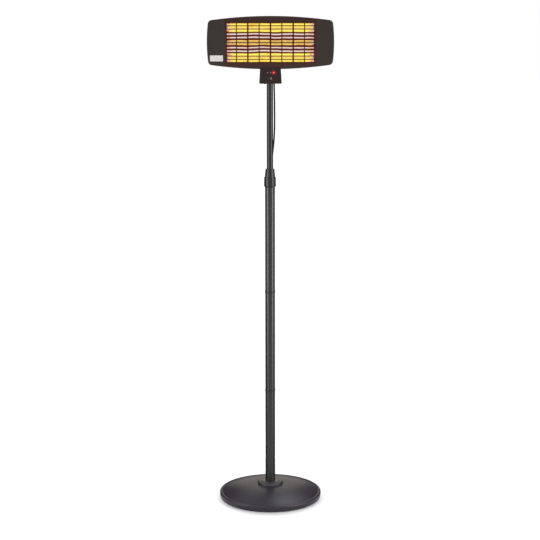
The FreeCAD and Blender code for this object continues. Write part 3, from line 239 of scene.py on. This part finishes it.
def hank_route():
    """The hank's turns: low runs away from the heater, folds up, high runs back, folds down."""
    shares = (0.12, 0.37, 0.63, 0.88)
    middle = hank_low + hank_fold_radius
    high = hank_low + 2 * hank_fold_radius
    x = hank_first_across
    places = []

    def run(start, end, level, waist):
        nonlocal x
        for share in shares:
            draw = waist * math.sin(math.pi * share) ** 2
            places.append((x + hank_step * share, between(start, end, share), level + draw))
        x += hank_step

    for _ in range(hank_loops):
        run(hank_near, hank_far, hank_low, hank_bottom_lift)
        places.extend(fold_points(x, hank_far, middle, 1))
        run(hank_far, hank_near, high, -hank_top_dip)
        places.extend(fold_points(x, hank_near, middle, -1))
    run(hank_near, hank_far, hank_low, hank_bottom_lift)
    return places


def floor_route():
    """The whole of the cord below the mast: behind the pole, over the base, the hank and the tail."""
    return cord_pole_route + hank_route() + cord_tail_route


def make_cords():
    head = tube("cord_from_head", line_along(cord_head_route), cord_radius)
    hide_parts("cord_head_stretch")
    line_along(cord_head_route)
    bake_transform(head)
    mast = tube("cord_beside_mast", line_along(cord_mast_route), cord_radius)
    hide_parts("cord_mast_stretch")
    line_along(cord_mast_route)
    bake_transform(mast)
    low = tube("cord_behind_pole", line_along(floor_route()), cord_radius)
    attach(low, "stand")
    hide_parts("cord_pole_run", "cord_hank", "cord_tail")
    return head, mast, low


cords = make_cords()


# Surfaces
class Surface:
    """A material of a Principled shader and the nodes that feed it, placed in the heater's own frame."""

    def __init__(self, name, roughness, metallic=0.0, specular=0.5, ior=1.5):
        self.material = bpy.data.materials.new(name)
        self.material.use_nodes = True
        self.tree = self.material.node_tree
        self.shader = self.tree.nodes["Principled BSDF"]
        self.set("Roughness", roughness)
        self.set("Metallic", metallic)
        self.set("Specular IOR Level", specular)
        self.set("IOR", ior)
        self.place = self.node("ShaderNodeTexCoord").outputs["Object"]
        self.bumps = None

    def set(self, socket, value):
        self.shader.inputs[socket].default_value = value

    def node(self, kind, **values):
        made = self.tree.nodes.new(kind)
        for key, value in values.items():
            setattr(made, key, value)
        return made

    def link(self, start, end):
        self.tree.links.new(start, end)

    def feed(self, socket, value):
        if isinstance(value, (int, float)):
            socket.default_value = value
        elif isinstance(value, tuple):
            needs_alpha = len(value) == 3 and len(socket.default_value) == 4
            socket.default_value = (*value, 1.0) if needs_alpha else value
        else:
            self.link(value, socket)

    def noise(self, scale, detail=4.0, roughness=0.6, stretch=None, lacunarity=2.0):
        """Noise in metres: scale is the number of waves in a metre."""
        made = self.node("ShaderNodeTexNoise")
        made.inputs["Scale"].default_value = scale
        made.inputs["Detail"].default_value = detail
        made.inputs["Roughness"].default_value = roughness
        made.inputs["Lacunarity"].default_value = lacunarity
        place = self.place
        if stretch:
            mapping = self.node("ShaderNodeMapping")
            mapping.inputs["Scale"].default_value = stretch
            self.link(self.place, mapping.inputs["Vector"])
            place = mapping.outputs["Vector"]
        self.link(place, made.inputs["Vector"])
        return made.outputs["Fac"]

    def ramp(self, value, stops, smooth=False):
        """Colours along a value from 0 to 1: stops are (place, colour)."""
        made = self.node("ShaderNodeValToRGB")
        made.color_ramp.interpolation = "EASE" if smooth else "LINEAR"
        elements = made.color_ramp.elements
        while len(elements) < len(stops):
            elements.new(0.5)
        for element, (where, colour) in zip(elements, stops):
            element.position = where
            element.color = (*colour, 1.0)
        self.link(value, made.inputs["Fac"])
        return made.outputs["Color"]

    def math(self, operation, a, b=0.0, clamp=False):
        made = self.node("ShaderNodeMath", operation=operation, use_clamp=clamp)
        self.feed(made.inputs[0], a)
        self.feed(made.inputs[1], b)
        return made.outputs["Value"]

    def remap(self, value, low, high, out_low=0.0, out_high=1.0, smooth=True):
        made = self.node("ShaderNodeMapRange")
        made.interpolation_type = "SMOOTHSTEP" if smooth else "LINEAR"
        for socket, number in zip(made.inputs[1:5], (low, high, out_low, out_high)):
            socket.default_value = number
        self.link(value, made.inputs["Value"])
        return made.outputs["Result"]

    def mix(self, share, a, b, blend="MIX"):
        made = self.node("ShaderNodeMix", data_type="RGBA", blend_type=blend)
        self.feed(made.inputs["Factor"], share)
        self.feed(made.inputs["A"], a)
        self.feed(made.inputs["B"], b)
        return made.outputs["Result"]

    def axes(self):
        made = self.node("ShaderNodeSeparateXYZ")
        self.link(self.place, made.inputs["Vector"])
        return made.outputs["X"], made.outputs["Y"], made.outputs["Z"]

    def off_middle(self, z, middle):
        """The height above or below a level, without its sign."""
        return self.math("ABSOLUTE", self.math("SUBTRACT", z, middle))

    def away_from(self, low, high):
        """The distance from the middle of a box, seen from the front."""
        x, _, z = self.axes()
        dx = self.math("SUBTRACT", x, (low[0] + high[0]) / 2)
        dz = self.math("SUBTRACT", z, (low[2] + high[2]) / 2)
        squares = self.math("ADD", self.math("POWER", dx, 2.0), self.math("POWER", dz, 2.0))
        return self.math("SQRT", squares)

    def bump(self, height, distance, strength=1.0):
        made = self.node("ShaderNodeBump")
        made.inputs["Strength"].default_value = strength
        made.inputs["Distance"].default_value = distance
        self.link(height, made.inputs["Height"])
        if self.bumps:
            self.link(self.bumps, made.inputs["Normal"])
        self.bumps = made.outputs["Normal"]
        self.link(self.bumps, self.shader.inputs["Normal"])

    def colour(self, value):
        self.feed(self.shader.inputs["Base Color"], value)

    def glow(self, value, strength):
        self.feed(self.shader.inputs["Emission Color"], value)
        self.feed(self.shader.inputs["Emission Strength"], strength)


def shade(colour, factor):
    return tuple(min(c * factor, 1.0) for c in colour)


def coated(name, colour, roughness, specular=0.5, orange_peel=0.00002, grain=0.000015, grain_scale=1800.0):
    """Powder coat or moulded plastic: mottled colour, uneven gloss, a faint long wave and a fine grain."""
    made = Surface(name, roughness, specular=specular)
    wide = made.noise(9.0, 3.0)
    fine = made.noise(260.0, 5.0, 0.7)
    tone = made.mix(0.4, wide, fine)
    made.colour(made.ramp(tone, [(0.3, shade(colour, 0.86)), (0.5, colour), (0.72, shade(colour, 1.16))]))
    uneven = made.remap(fine, 0.3, 0.7, roughness - 0.05, roughness + 0.05)
    made.feed(made.shader.inputs["Roughness"], uneven)
    made.bump(made.noise(140.0, 2.0), orange_peel)
    made.bump(made.noise(grain_scale, 2.0, 0.5), grain)
    return made


def metal(name, colour, roughness, stretch=None, grain=0.00001):
    made = Surface(name, roughness, metallic=1.0)
    streaks = made.noise(500.0, 4.0, 0.6, stretch=stretch)
    made.colour(made.ramp(streaks, [(0.25, shade(colour, 0.82)), (0.75, shade(colour, 1.1))]))
    uneven = made.remap(streaks, 0.2, 0.8, roughness - 0.08, roughness + 0.1)
    made.feed(made.shader.inputs["Roughness"], uneven)
    made.bump(streaks, grain)
    return made


def simple_materials():
    """One material for each slot of the record that needs no pattern of its own."""
    made = {
        "base_paint": coated("base_paint", (0.0285, 0.0235, 0.0325), 0.36, 0.26),
        "tube_paint": coated("tube_paint", (0.0088, 0.0082, 0.0090), 0.30, 0.42),
        "mast_paint": coated("mast_paint", (0.0105, 0.0098, 0.0104), 0.30, 0.30),
        "cast_weight": coated("cast_weight", (0.10, 0.10, 0.10), 0.8, 0.4, 0.0004, 0.0002, 300.0),
        "foot_rubber": coated("foot_rubber", (0.02, 0.02, 0.02), 0.8, 0.3),
        "dark_plastic": coated("dark_plastic", (0.0330, 0.0300, 0.0340), 0.36, 0.50),
        "joint_plastic": coated("joint_plastic", (0.006, 0.0055, 0.0055), 0.34, 0.34),
        "nylon": coated("nylon", (0.62, 0.60, 0.54), 0.45, 0.5),
        "ceramic": coated("ceramic", (0.78, 0.74, 0.68), 0.6, 0.4),
        "button_plastic": coated("button_plastic", (0.016, 0.013, 0.012), 0.4, 0.4),
        "board_green": coated("board_green", (0.015, 0.10, 0.045), 0.45, 0.5),
        "relay_plastic": coated("relay_plastic", (0.015, 0.06, 0.20), 0.4, 0.5),
        "terminal_plastic": coated("terminal_plastic", (0.70, 0.68, 0.60), 0.5, 0.4),
        "switch_plastic": coated("switch_plastic", (0.014, 0.014, 0.014), 0.5, 0.4),
        "lead_silicone": coated("lead_silicone", (0.66, 0.64, 0.58), 0.7, 0.3),
        "cord_rubber": coated("cord_rubber", (0.008, 0.008, 0.0085), 0.5, 0.08, 0.00003, 0.00002),
        "tie_plastic": coated("tie_plastic", (0.014, 0.014, 0.015), 0.5, 0.4),
        "plug_plastic": coated("plug_plastic", (0.014, 0.014, 0.0145), 0.5, 0.3, 0.00003, 0.00003),
        "zinc_steel": metal("zinc_steel", (0.62, 0.62, 0.60), 0.36),
        "aluminium": metal("aluminium", (0.72, 0.72, 0.71), 0.32, (1.0, 1.0, 12.0)),
        "pin_metal": metal("pin_metal", (0.70, 0.66, 0.58), 0.24, (1.0, 12.0, 1.0)),
    }
    return {name: surface.material for name, surface in made.items()}


head_low, head_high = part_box("front_bezel")
head_middle = (head_low[2] + head_high[2]) / 2
_, guard_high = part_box("wire_guard")
tubes_low, tubes_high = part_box("quartz_tubes")
tube_radius = (tubes_high[1] - tubes_low[1]) / 2
tube_pitch = (tubes_high[2] - tubes_low[2]) / 2 - tube_radius
guard_pitch = 0.01322


def head_paint():
    """The bezel's fine satin plastic, with a painted red glow round the hot window, where the window's light
    falls on it.
    """
    made = coated("head_coat", (0.030, 0.0215, 0.0185), 0.5, 0.18)
    x, y, z = made.axes()
    # The painted glow fades this many times faster beside the window than above and below it
    side_fade = 2.4
    beside = made.math("SUBTRACT", made.math("ABSOLUTE", x), guard_high[0])
    side = made.math("MULTIPLY", beside, side_fade)
    up = made.math("SUBTRACT", made.off_middle(z, head_middle), guard_high[2] - head_middle)
    away = made.math("MAXIMUM", side, up)
    front = made.remap(y, head_low[1] + 0.020, head_low[1] + 0.045, 1.0, 0.0)
    # Painted light: the window's red glow on the bezel's front, put in its colour, darker red above the
    # window
    painted_window_glow = made.math("MULTIPLY", made.remap(away, 0.004, 0.028, 0.75, 0.0), front)
    old = made.shader.inputs["Base Color"].links[0].from_socket
    over = made.remap(made.math("SUBTRACT", z, head_middle), 0.05, 0.08)
    red = made.mix(over, (0.046, 0.012, 0.008), (0.029, 0.006, 0.003))
    made.colour(made.mix(painted_window_glow, old, red))
    return made.material


def guard_paint():
    """The guard's dark coat, red-brown as the tubes' light makes it look, with a faint painted red glow over
    the tubes.
    """
    made = coated("guard_coat", (0.030, 0.0050, 0.0035), 0.5, 0.12)
    x, _, z = made.axes()
    # Painted glow: the guard glows faintly red over each tube and less at its sides, though it is no lamp
    away = made.off_middle(made.off_middle(z, head_middle), tube_pitch)
    painted_glow_level = made.remap(away, 0.004, 0.024, 0.22, 0.12)
    inside = made.remap(made.math("ABSOLUTE", x), guard_high[0] - 0.006, guard_high[0] - 0.003, 1.0, 0.2)
    made.glow((0.32, 0.030, 0.012), made.math("MULTIPLY", painted_glow_level, inside))
    return made.material


def box_paint():
    """The control box's plastic, with a painted red glow of the lit lamp round its hole."""
    made = coated("box_plastic", (0.0150, 0.0078, 0.0064), 0.5, 0.20)
    low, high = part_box("lit_indicator")
    _, y, _ = made.axes()
    front = made.remap(y, low[1] + 0.006, low[1] + 0.012, 1.0, 0.0)
    # Painted light: the plastic glows red round the lamp's hole, where the lamp's light falls
    spill = made.remap(made.away_from(low, high), 0.0030, 0.0112, 1.0, 0.0)
    made.glow((0.36, 0.002, 0.010), made.math("MULTIPLY", spill, front))
    return made.material


def reflector_sheet():
    """The sheet's painted glow, standing in for the tubes' light on it: yellow at the outer ones, amber in
    the middle, pale between them.
    """
    made = Surface("bright_sheet", 0.22, metallic=1.0)
    x, _, z = made.axes()
    waves = made.math("SUBTRACT", made.noise(16.0, 2.0, stretch=(1.0, 1.0, 0.4)), 0.5)
    up = made.math("ADD", made.math("SUBTRACT", z, head_middle), made.math("MULTIPLY", waves, 0.008))
    off = made.math("ABSOLUTE", up)
    # Painted light: these colours are all glow, the light of the tubes on the sheet, with painted orange
    # reflections and a duller glow towards its ends
    yellow = (1.0, 0.86, 0.13)
    orange = (0.85, 0.34, 0.03)
    pale = (0.76, 0.63, 0.60)
    amber = (0.93, 0.60, 0.11)
    wire_shade_red = (0.125, 0.012, 0.006)
    reach = 0.09
    stops = [
        (0.0000, amber),
        (0.0110, amber),
        (0.0135, orange),
        (0.0155, pale),
        (0.0375, pale),
        (0.0400, orange),
        (0.0425, yellow),
        (0.0730, yellow),
        (0.0800, orange),
    ]
    colour = made.ramp(made.math("DIVIDE", off, reach), [(where / reach, c) for where, c in stops])
    painted_orange_reflections = made.remap(made.noise(34.0, 3.0, stretch=(0.7, 1.0, 1.6)), 0.60, 0.70, 0.0, 0.55)
    colour = made.mix(painted_orange_reflections, colour, orange)
    wobble = made.math("MULTIPLY", made.math("SUBTRACT", made.noise(60.0, 3.0), 0.5), 0.03)
    reached = made.math("ADD", made.math("ABSOLUTE", x), wobble)
    lit = made.mix(made.remap(reached, 0.148, 0.172), colour, (0.80, 0.46, 0.36))
    spots = made.remap(made.noise(70.0, 2.0, stretch=(0.8, 1.0, 1.3)), 0.52, 0.60)
    lit = made.mix(made.math("MULTIPLY", spots, made.remap(reached, 0.158, 0.168)), lit, (0.55, 0.07, 0.05))
    # Painted shadow and reflection of the guard's wires: a dark line on the sheet behind each of them, in its
    # colour and its glow
    row = made.math("DIVIDE", up, guard_pitch)
    near = made.off_middle(made.math("FRACT", made.math("ADD", row, 100.5)), 0.5)
    middle = made.remap(off, 0.038, 0.044, 1.0, 0.30)
    wide = made.math("SUBTRACT", near, made.math("MULTIPLY", middle, 0.05))
    shadow = made.remap(wide, 0.19, 0.31, 1.0, 0.0)
    dark = made.math("MULTIPLY", shadow, middle)
    made.colour(made.mix(dark, (0.10, 0.075, 0.06), (0.012, 0.004, 0.003)))
    made.glow(made.mix(dark, lit, wire_shade_red), 1.0)
    made.bump(made.noise(40.0, 2.0, stretch=(0.3, 1.0, 3.0)), 0.0006)
    return made.material


def quartz_glass():
    made = Surface("quartz", 0.05, specular=0.5, ior=1.46)
    made.set("Transmission Weight", 1.0)
    made.colour(made.ramp(made.noise(30.0), [(0.3, (1.0, 0.95, 0.86)), (0.7, (1.0, 0.98, 0.93))]))
    # Painted glow: the glass glows faintly yellow for the coils' light in it
    made.glow((1.0, 0.80, 0.20), 0.05)
    made.bump(made.noise(500.0, 2.0, stretch=(0.2, 1.0, 1.0)), 0.00001)
    return made.material


def hot_wire():
    """The coils' wire: yellow in the outer tubes, dimmer in the middle one, with painted shade behind the
    guard's wires.
    """
    made = Surface("hot_wire", 0.5)
    made.colour((0.5, 0.38, 0.10))
    _, _, z = made.axes()
    off = made.off_middle(z, head_middle)
    outer = made.remap(off, 0.016, 0.020)
    # Painted shade: the glow is dimmer in a band along each tube's middle, behind a wire of the guard, wider
    # in the middle tube
    near = made.off_middle(off, made.math("MULTIPLY", outer, tube_pitch))
    near = made.math("MULTIPLY", near, made.math("ADD", 0.6, made.math("MULTIPLY", outer, 0.4)))
    behind = made.remap(near, 0.0015, 0.0032, 1.0, 0.0)
    bright = made.ramp(made.noise(90.0), [(0.3, (1.0, 0.93, 0.20)), (0.7, (1.0, 1.0, 0.32))])
    dim = made.ramp(made.noise(90.0), [(0.3, (0.72, 0.50, 0.15)), (0.7, (0.82, 0.62, 0.20))])
    dark = made.mix(outer, (0.06, 0.008, 0.0), (0.34, 0.11, 0.01))
    made.glow(made.mix(behind, made.mix(outer, dim, bright), dark), 0.92)
    return made.material


def badge_metal():
    """Brushed silver plate, bare."""
    made = Surface("badge", 0.38, metallic=0.4)
    brush = made.noise(700.0, 5.0, 0.65, stretch=(0.04, 1.0, 1.0))
    made.colour(made.ramp(brush, [(0.25, (0.60, 0.54, 0.52)), (0.75, (0.77, 0.71, 0.69))]))
    made.bump(brush, 0.00002)
    return made.material


def dark_lens():
    made = Surface("lens_dark", 0.2, specular=0.6)
    made.colour(made.ramp(made.noise(900.0), [(0.3, (0.09, 0.065, 0.060)), (0.7, (0.15, 0.115, 0.11))]))
    made.bump(made.noise(1500.0, 1.0), 0.00002)
    return made.material


def lit_lens():
    """Red lens over a lamp: pinkish white in its middle, deep red at its rim."""
    made = Surface("lens_red", 0.2, specular=0.6)
    lens_radius = 0.0036
    spot = made.math("DIVIDE", made.away_from(*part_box("lit_indicator")), lens_radius)
    made.colour((0.8, 0.02, 0.02))
    stops = [(0.0, (1.0, 0.86, 0.90)), (0.22, (1.0, 0.46, 0.54)), (0.40, (0.60, 0.0, 0.012))]
    made.glow(made.ramp(spot, stops), 1.2)
    return made.material


def sensor_plastic():
    made = Surface("sensor_plastic", 0.3, specular=0.5)
    made.colour(made.ramp(made.noise(700.0), [(0.3, (0.16, 0.125, 0.12)), (0.7, (0.24, 0.19, 0.185))]))
    made.bump(made.noise(1200.0, 2.0), 0.00003)
    return made.material


materials = simple_materials()
materials.update(
    {
        "head_coat": head_paint(),
        "guard_coat": guard_paint(),
        "box_plastic": box_paint(),
        "bright_sheet": reflector_sheet(),
        "quartz": quartz_glass(),
        "hot_wire": hot_wire(),
        "badge": badge_metal(),
        "lens_dark": dark_lens(),
        "lens_red": lit_lens(),
        "sensor_plastic": sensor_plastic(),
    }
)


def paint(piece, slot):
    piece.data.materials.clear()
    piece.data.materials.append(materials[slot])


def paint_nodes():
    for part in frame["record"]["subparts"]:
        paint(frame["nodes"][part["node"]], part["material_slot"])


paint_nodes()


# Dressed pieces
def lathe(name, profile, start, way, sides=48):
    """A piece turned about a line: profile is (distance along it, radius)."""
    way = way.normalized()
    line = [start + way * along for along, _ in profile]
    side = way.orthogonal().normalized()
    up = way.cross(side)
    verts = []
    faces = []
    for at, (_, r) in zip(line, profile):
        for k in range(sides):
            turn = 2 * math.pi * k / sides
            verts.append(at + (side * math.cos(turn) + up * math.sin(turn)) * r)
    for i in range(len(profile) - 1):
        for k in range(sides):
            a = i * sides + k
            b = i * sides + (k + 1) % sides
            faces.append((a, b, b + sides, a + sides))
    faces.append(tuple(reversed(range(sides))))
    faces.append(tuple(range(len(verts) - sides, len(verts))))
    piece = mesh_piece(name, verts, faces)
    piece.data.set_sharp_from_angle(angle=math.radians(40))
    return piece


def make_strain_relief():
    """A tapered boot with soft ribs, out of the gland."""
    low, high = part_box("strain_relief")
    start = Vector(((low[0] + high[0]) / 2, low[1], (low[2] + high[2]) / 2))
    length = high[1] - low[1]
    root = (high[0] - low[0]) / 2
    tip = 0.0039
    straight = 0.012
    ribs = 8
    pitch = (length - straight) / ribs
    profile = [(0.0, root), (straight, root)]
    for k in range(ribs):
        at = straight + pitch * k
        wide = between(root, tip, k / ribs)
        profile.append((at + pitch * 0.1, wide))
        profile.append((at + pitch * 0.55, wide))
        profile.append((at + pitch * 0.65, wide - 0.0007))
        profile.append((at + pitch * 0.95, wide - 0.0007))
    profile.append((length, tip))
    piece = lathe("strain_boot", profile, start, Vector((0, 1, 0)))
    paint(piece, "cord_rubber")
    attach(piece, "head")
    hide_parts("strain_relief")


def make_coils():
    """The close-wound resistance wire of each tube, with its straight ends."""
    low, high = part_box("heating_coils")
    half = 0.158
    pin_end = high[0]
    centre_y = (low[1] + high[1]) / 2
    wire = 0.00055
    winding = (high[1] - low[1]) / 2 - wire
    turns = 110
    steps = 10
    for row, name in ((1, "upper"), (0, "middle"), (-1, "lower")):
        z = head_middle + row * tube_pitch
        line = [Vector((-pin_end, centre_y, z)), Vector((-half - 0.002, centre_y, z))]
        for k in range(turns * steps + 1):
            turn = 2 * math.pi * k / steps
            x = between(-half, half, k / (turns * steps))
            line.append(Vector((x, centre_y + winding * math.cos(turn), z + winding * math.sin(turn))))
        line.append(Vector((half + 0.002, centre_y, z)))
        line.append(Vector((pin_end, centre_y, z)))
        piece = tube("glowing_wire_" + name, line, wire, sides=6)
        paint(piece, "hot_wire")
        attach(piece, "head")
        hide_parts("heating_coils")


def make_plug():
    """The moulded plug: ribbed boot, a grip that narrows, and a flat face."""
    low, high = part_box("plug_body")
    start = Vector(((low[0] + high[0]) / 2, low[1], (low[2] + high[2]) / 2))
    length = high[1] - low[1]
    face = (high[0] - low[0]) / 2
    profile = [(0.0, 0.0041)]
    for k in range(4):
        at = 0.001 + 0.0034 * k
        wide = between(0.0045, 0.0062, k / 4)
        profile.append((at, wide))
        profile.append((at + 0.0019, wide))
        profile.append((at + 0.0023, wide - 0.0006))
        profile.append((at + 0.0030, wide - 0.0006))
    profile += [
        (0.0150, 0.0078),
        (0.0175, 0.0100),
        (0.0215, 0.0124),
        (0.0260, 0.0138),
        (0.0300, face - 0.0028),
        (0.0330, face - 0.0008),
        (0.0345, face),
        (0.0385, face),
        (0.0390, face - 0.0008),
        (0.0405, face - 0.0008),
        (0.0410, face),
        (length - 0.0008, face),
        (length, face - 0.0008),
    ]
    piece = lathe("plug_shell", profile, start, Vector((0, 1, 0)), sides=64)
    paint(piece, "plug_plastic")
    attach(piece, "stand")
    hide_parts("plug_body")
    return piece


def finish_cords():
    for cord in cords:
        paint(cord, "cord_rubber")
    plug = make_plug()
    line_along(floor_route())


make_strain_relief()
make_coils()
finish_cords()


# Stage and light
def white_where_seen(tree, nodes):
    """1 for rays from the camera, from gloss and through glass, else 0."""
    path = nodes.new("ShaderNodeLightPath")
    total = None
    for name in ("Is Camera Ray", "Is Glossy Ray", "Is Transmission Ray"):
        if total is None:
            total = path.outputs[name]
            continue
        add = nodes.new("ShaderNodeMath")
        add.operation = "MAXIMUM"
        tree.links.new(total, add.inputs[0])
        tree.links.new(path.outputs[name], add.inputs[1])
        total = add.outputs["Value"]
    return total


def make_world():
    world = bpy.data.worlds.new("studio")
    bpy.context.scene.world = world
    world.use_nodes = True
    tree = world.node_tree
    background = tree.nodes["Background"]
    background.inputs["Color"].default_value = (1.0, 1.0, 1.0, 1.0)
    seen = white_where_seen(tree, tree.nodes)
    level = tree.nodes.new("ShaderNodeMapRange")
    level.inputs["To Min"].default_value = 0.25
    level.inputs["To Max"].default_value = 1.0
    tree.links.new(seen, level.inputs["Value"])
    tree.links.new(level.outputs["Result"], background.inputs["Strength"])


def make_floor():
    size = 60.0
    fade_reach = 5.0
    verts = [(-size, -size, 0), (size, -size, 0), (size, size, 0), (-size, size, 0)]
    floor = mesh_piece("floor", verts, [(0, 1, 2, 3)], smooth=False)
    material = bpy.data.materials.new("floor")
    material.use_nodes = True
    tree = material.node_tree
    nodes = tree.nodes
    shader = nodes["Principled BSDF"]
    shader.inputs["Base Color"].default_value = (0.86, 0.86, 0.86, 1.0)
    shader.inputs["Roughness"].default_value = 0.9
    shader.inputs["Specular IOR Level"].default_value = 0.0
    # The white fades out under the base, a little further out in front, so the lamps' own shadow shows there;
    # the darker band this leaves close round the base, widest in front, is partly painted shade.
    place = nodes.new("ShaderNodeTexCoord")
    away = nodes.new("ShaderNodeVectorMath")
    away.operation = "DISTANCE"
    away.inputs[1].default_value = (0.0, -0.045, 0.0)
    tree.links.new(place.outputs["Object"], away.inputs[0])
    share = nodes.new("ShaderNodeMath")
    share.operation = "DIVIDE"
    share.inputs[1].default_value = fade_reach
    tree.links.new(away.outputs["Value"], share.inputs[0])
    level = nodes.new("ShaderNodeValToRGB")
    stops = ((0.185, 0.0), (0.21, 0.34), (0.23, 0.56), (fade_reach, 0.86))
    elements = level.color_ramp.elements
    while len(elements) < len(stops):
        elements.new(0.5)
    for element, (where, grey) in zip(elements, stops):
        element.position = where / fade_reach
        element.color = (grey, grey, grey, 1.0)
    tree.links.new(share.outputs["Value"], level.inputs["Fac"])
    seen = nodes.new("ShaderNodeMath")
    seen.operation = "MULTIPLY"
    tree.links.new(white_where_seen(tree, nodes), seen.inputs[0])
    tree.links.new(level.outputs["Color"], seen.inputs[1])
    shader.inputs["Emission Color"].default_value = (1.0, 1.0, 1.0, 1.0)
    tree.links.new(seen.outputs["Value"], shader.inputs["Emission Strength"])
    floor.data.materials.append(material)


def make_flag(name, corners, glow=None):
    """A panel beside or before the white backdrop, that only gloss shows: dark ones draw the tubes' edges."""
    panel = mesh_piece(name, corners, [tuple(range(len(corners)))], smooth=False)
    for kind in ("camera", "diffuse", "transmission", "volume_scatter", "shadow"):
        setattr(panel, "visible_" + kind, False)
    material = bpy.data.materials.new(name)
    material.use_nodes = True
    shader = material.node_tree.nodes["Principled BSDF"]
    shader.inputs["Base Color"].default_value = (0.03, 0.03, 0.03, 1.0)
    shader.inputs["Roughness"].default_value = 0.9
    shader.inputs["Specular IOR Level"].default_value = 0.0
    if glow:
        shader.inputs["Emission Color"].default_value = (*glow, 1.0)
        shader.inputs["Emission Strength"].default_value = 1.0
    panel.data.materials.append(material)


def make_lamp(name, place, target, width, height, power, colour):
    data = bpy.data.lights.new(name, "AREA")
    data.shape = "RECTANGLE"
    data.size = width
    data.size_y = height
    data.energy = power
    data.color = colour
    lamp = add_object(name, data)
    way = Vector(target) - Vector(place)
    lamp.visible_camera = False
    lamp.matrix_world = Matrix.Translation(place) @ way.to_track_quat("-Z", "Y").to_matrix().to_4x4()


make_world()
make_floor()
for side, name, gap in ((-1, "left", 0.75), (1, "right", 0.95)):
    near = (side * gap, 4.0)
    far = (side * 4.0, 0.4)
    make_flag(name + "_flag", [(*near, 0.0), (*far, 0.0), (*far, 2.9), (*near, 2.9)])
    floor_edge = [(0.0, 0.24), (0.0, 9.0), (4.3, 9.0), (4.3, -0.1), (0.3, -0.1)]
    make_flag(name + "_floor_flag", [(side * x, y, 0.004) for x, y in floor_edge])
make_flag("top_flag", [(-0.40, 3.0, 3.1), (0.20, 3.0, 3.1), (0.20, 2.4, 4.1), (-0.40, 2.4, 4.1)])
warm_corners = [(-1.4, 5.5, 0.2), (1.6, 5.5, 0.2), (1.6, 5.5, 4.2), (-1.4, 5.5, 4.2)]
make_flag("warm_panel", warm_corners, (1.0, 0.95, 0.86))
make_lamp("left_box", (-2.45, -1.38, 1.3), (0, 0, 1.3), 1.25, 2.5, 66.0, (1.0, 0.995, 0.985))
make_lamp("right_box", (2.45, -1.30, 1.3), (0, 0, 1.3), 1.25, 2.5, 70.0, (0.98, 0.99, 1.0))
make_lamp("rear_box", (0.85, 1.95, 3.4), (0, 0, 0.0), 0.9, 0.6, 16.0, (0.82, 0.83, 1.0))

bpy.context.scene.view_settings.view_transform = "Standard"
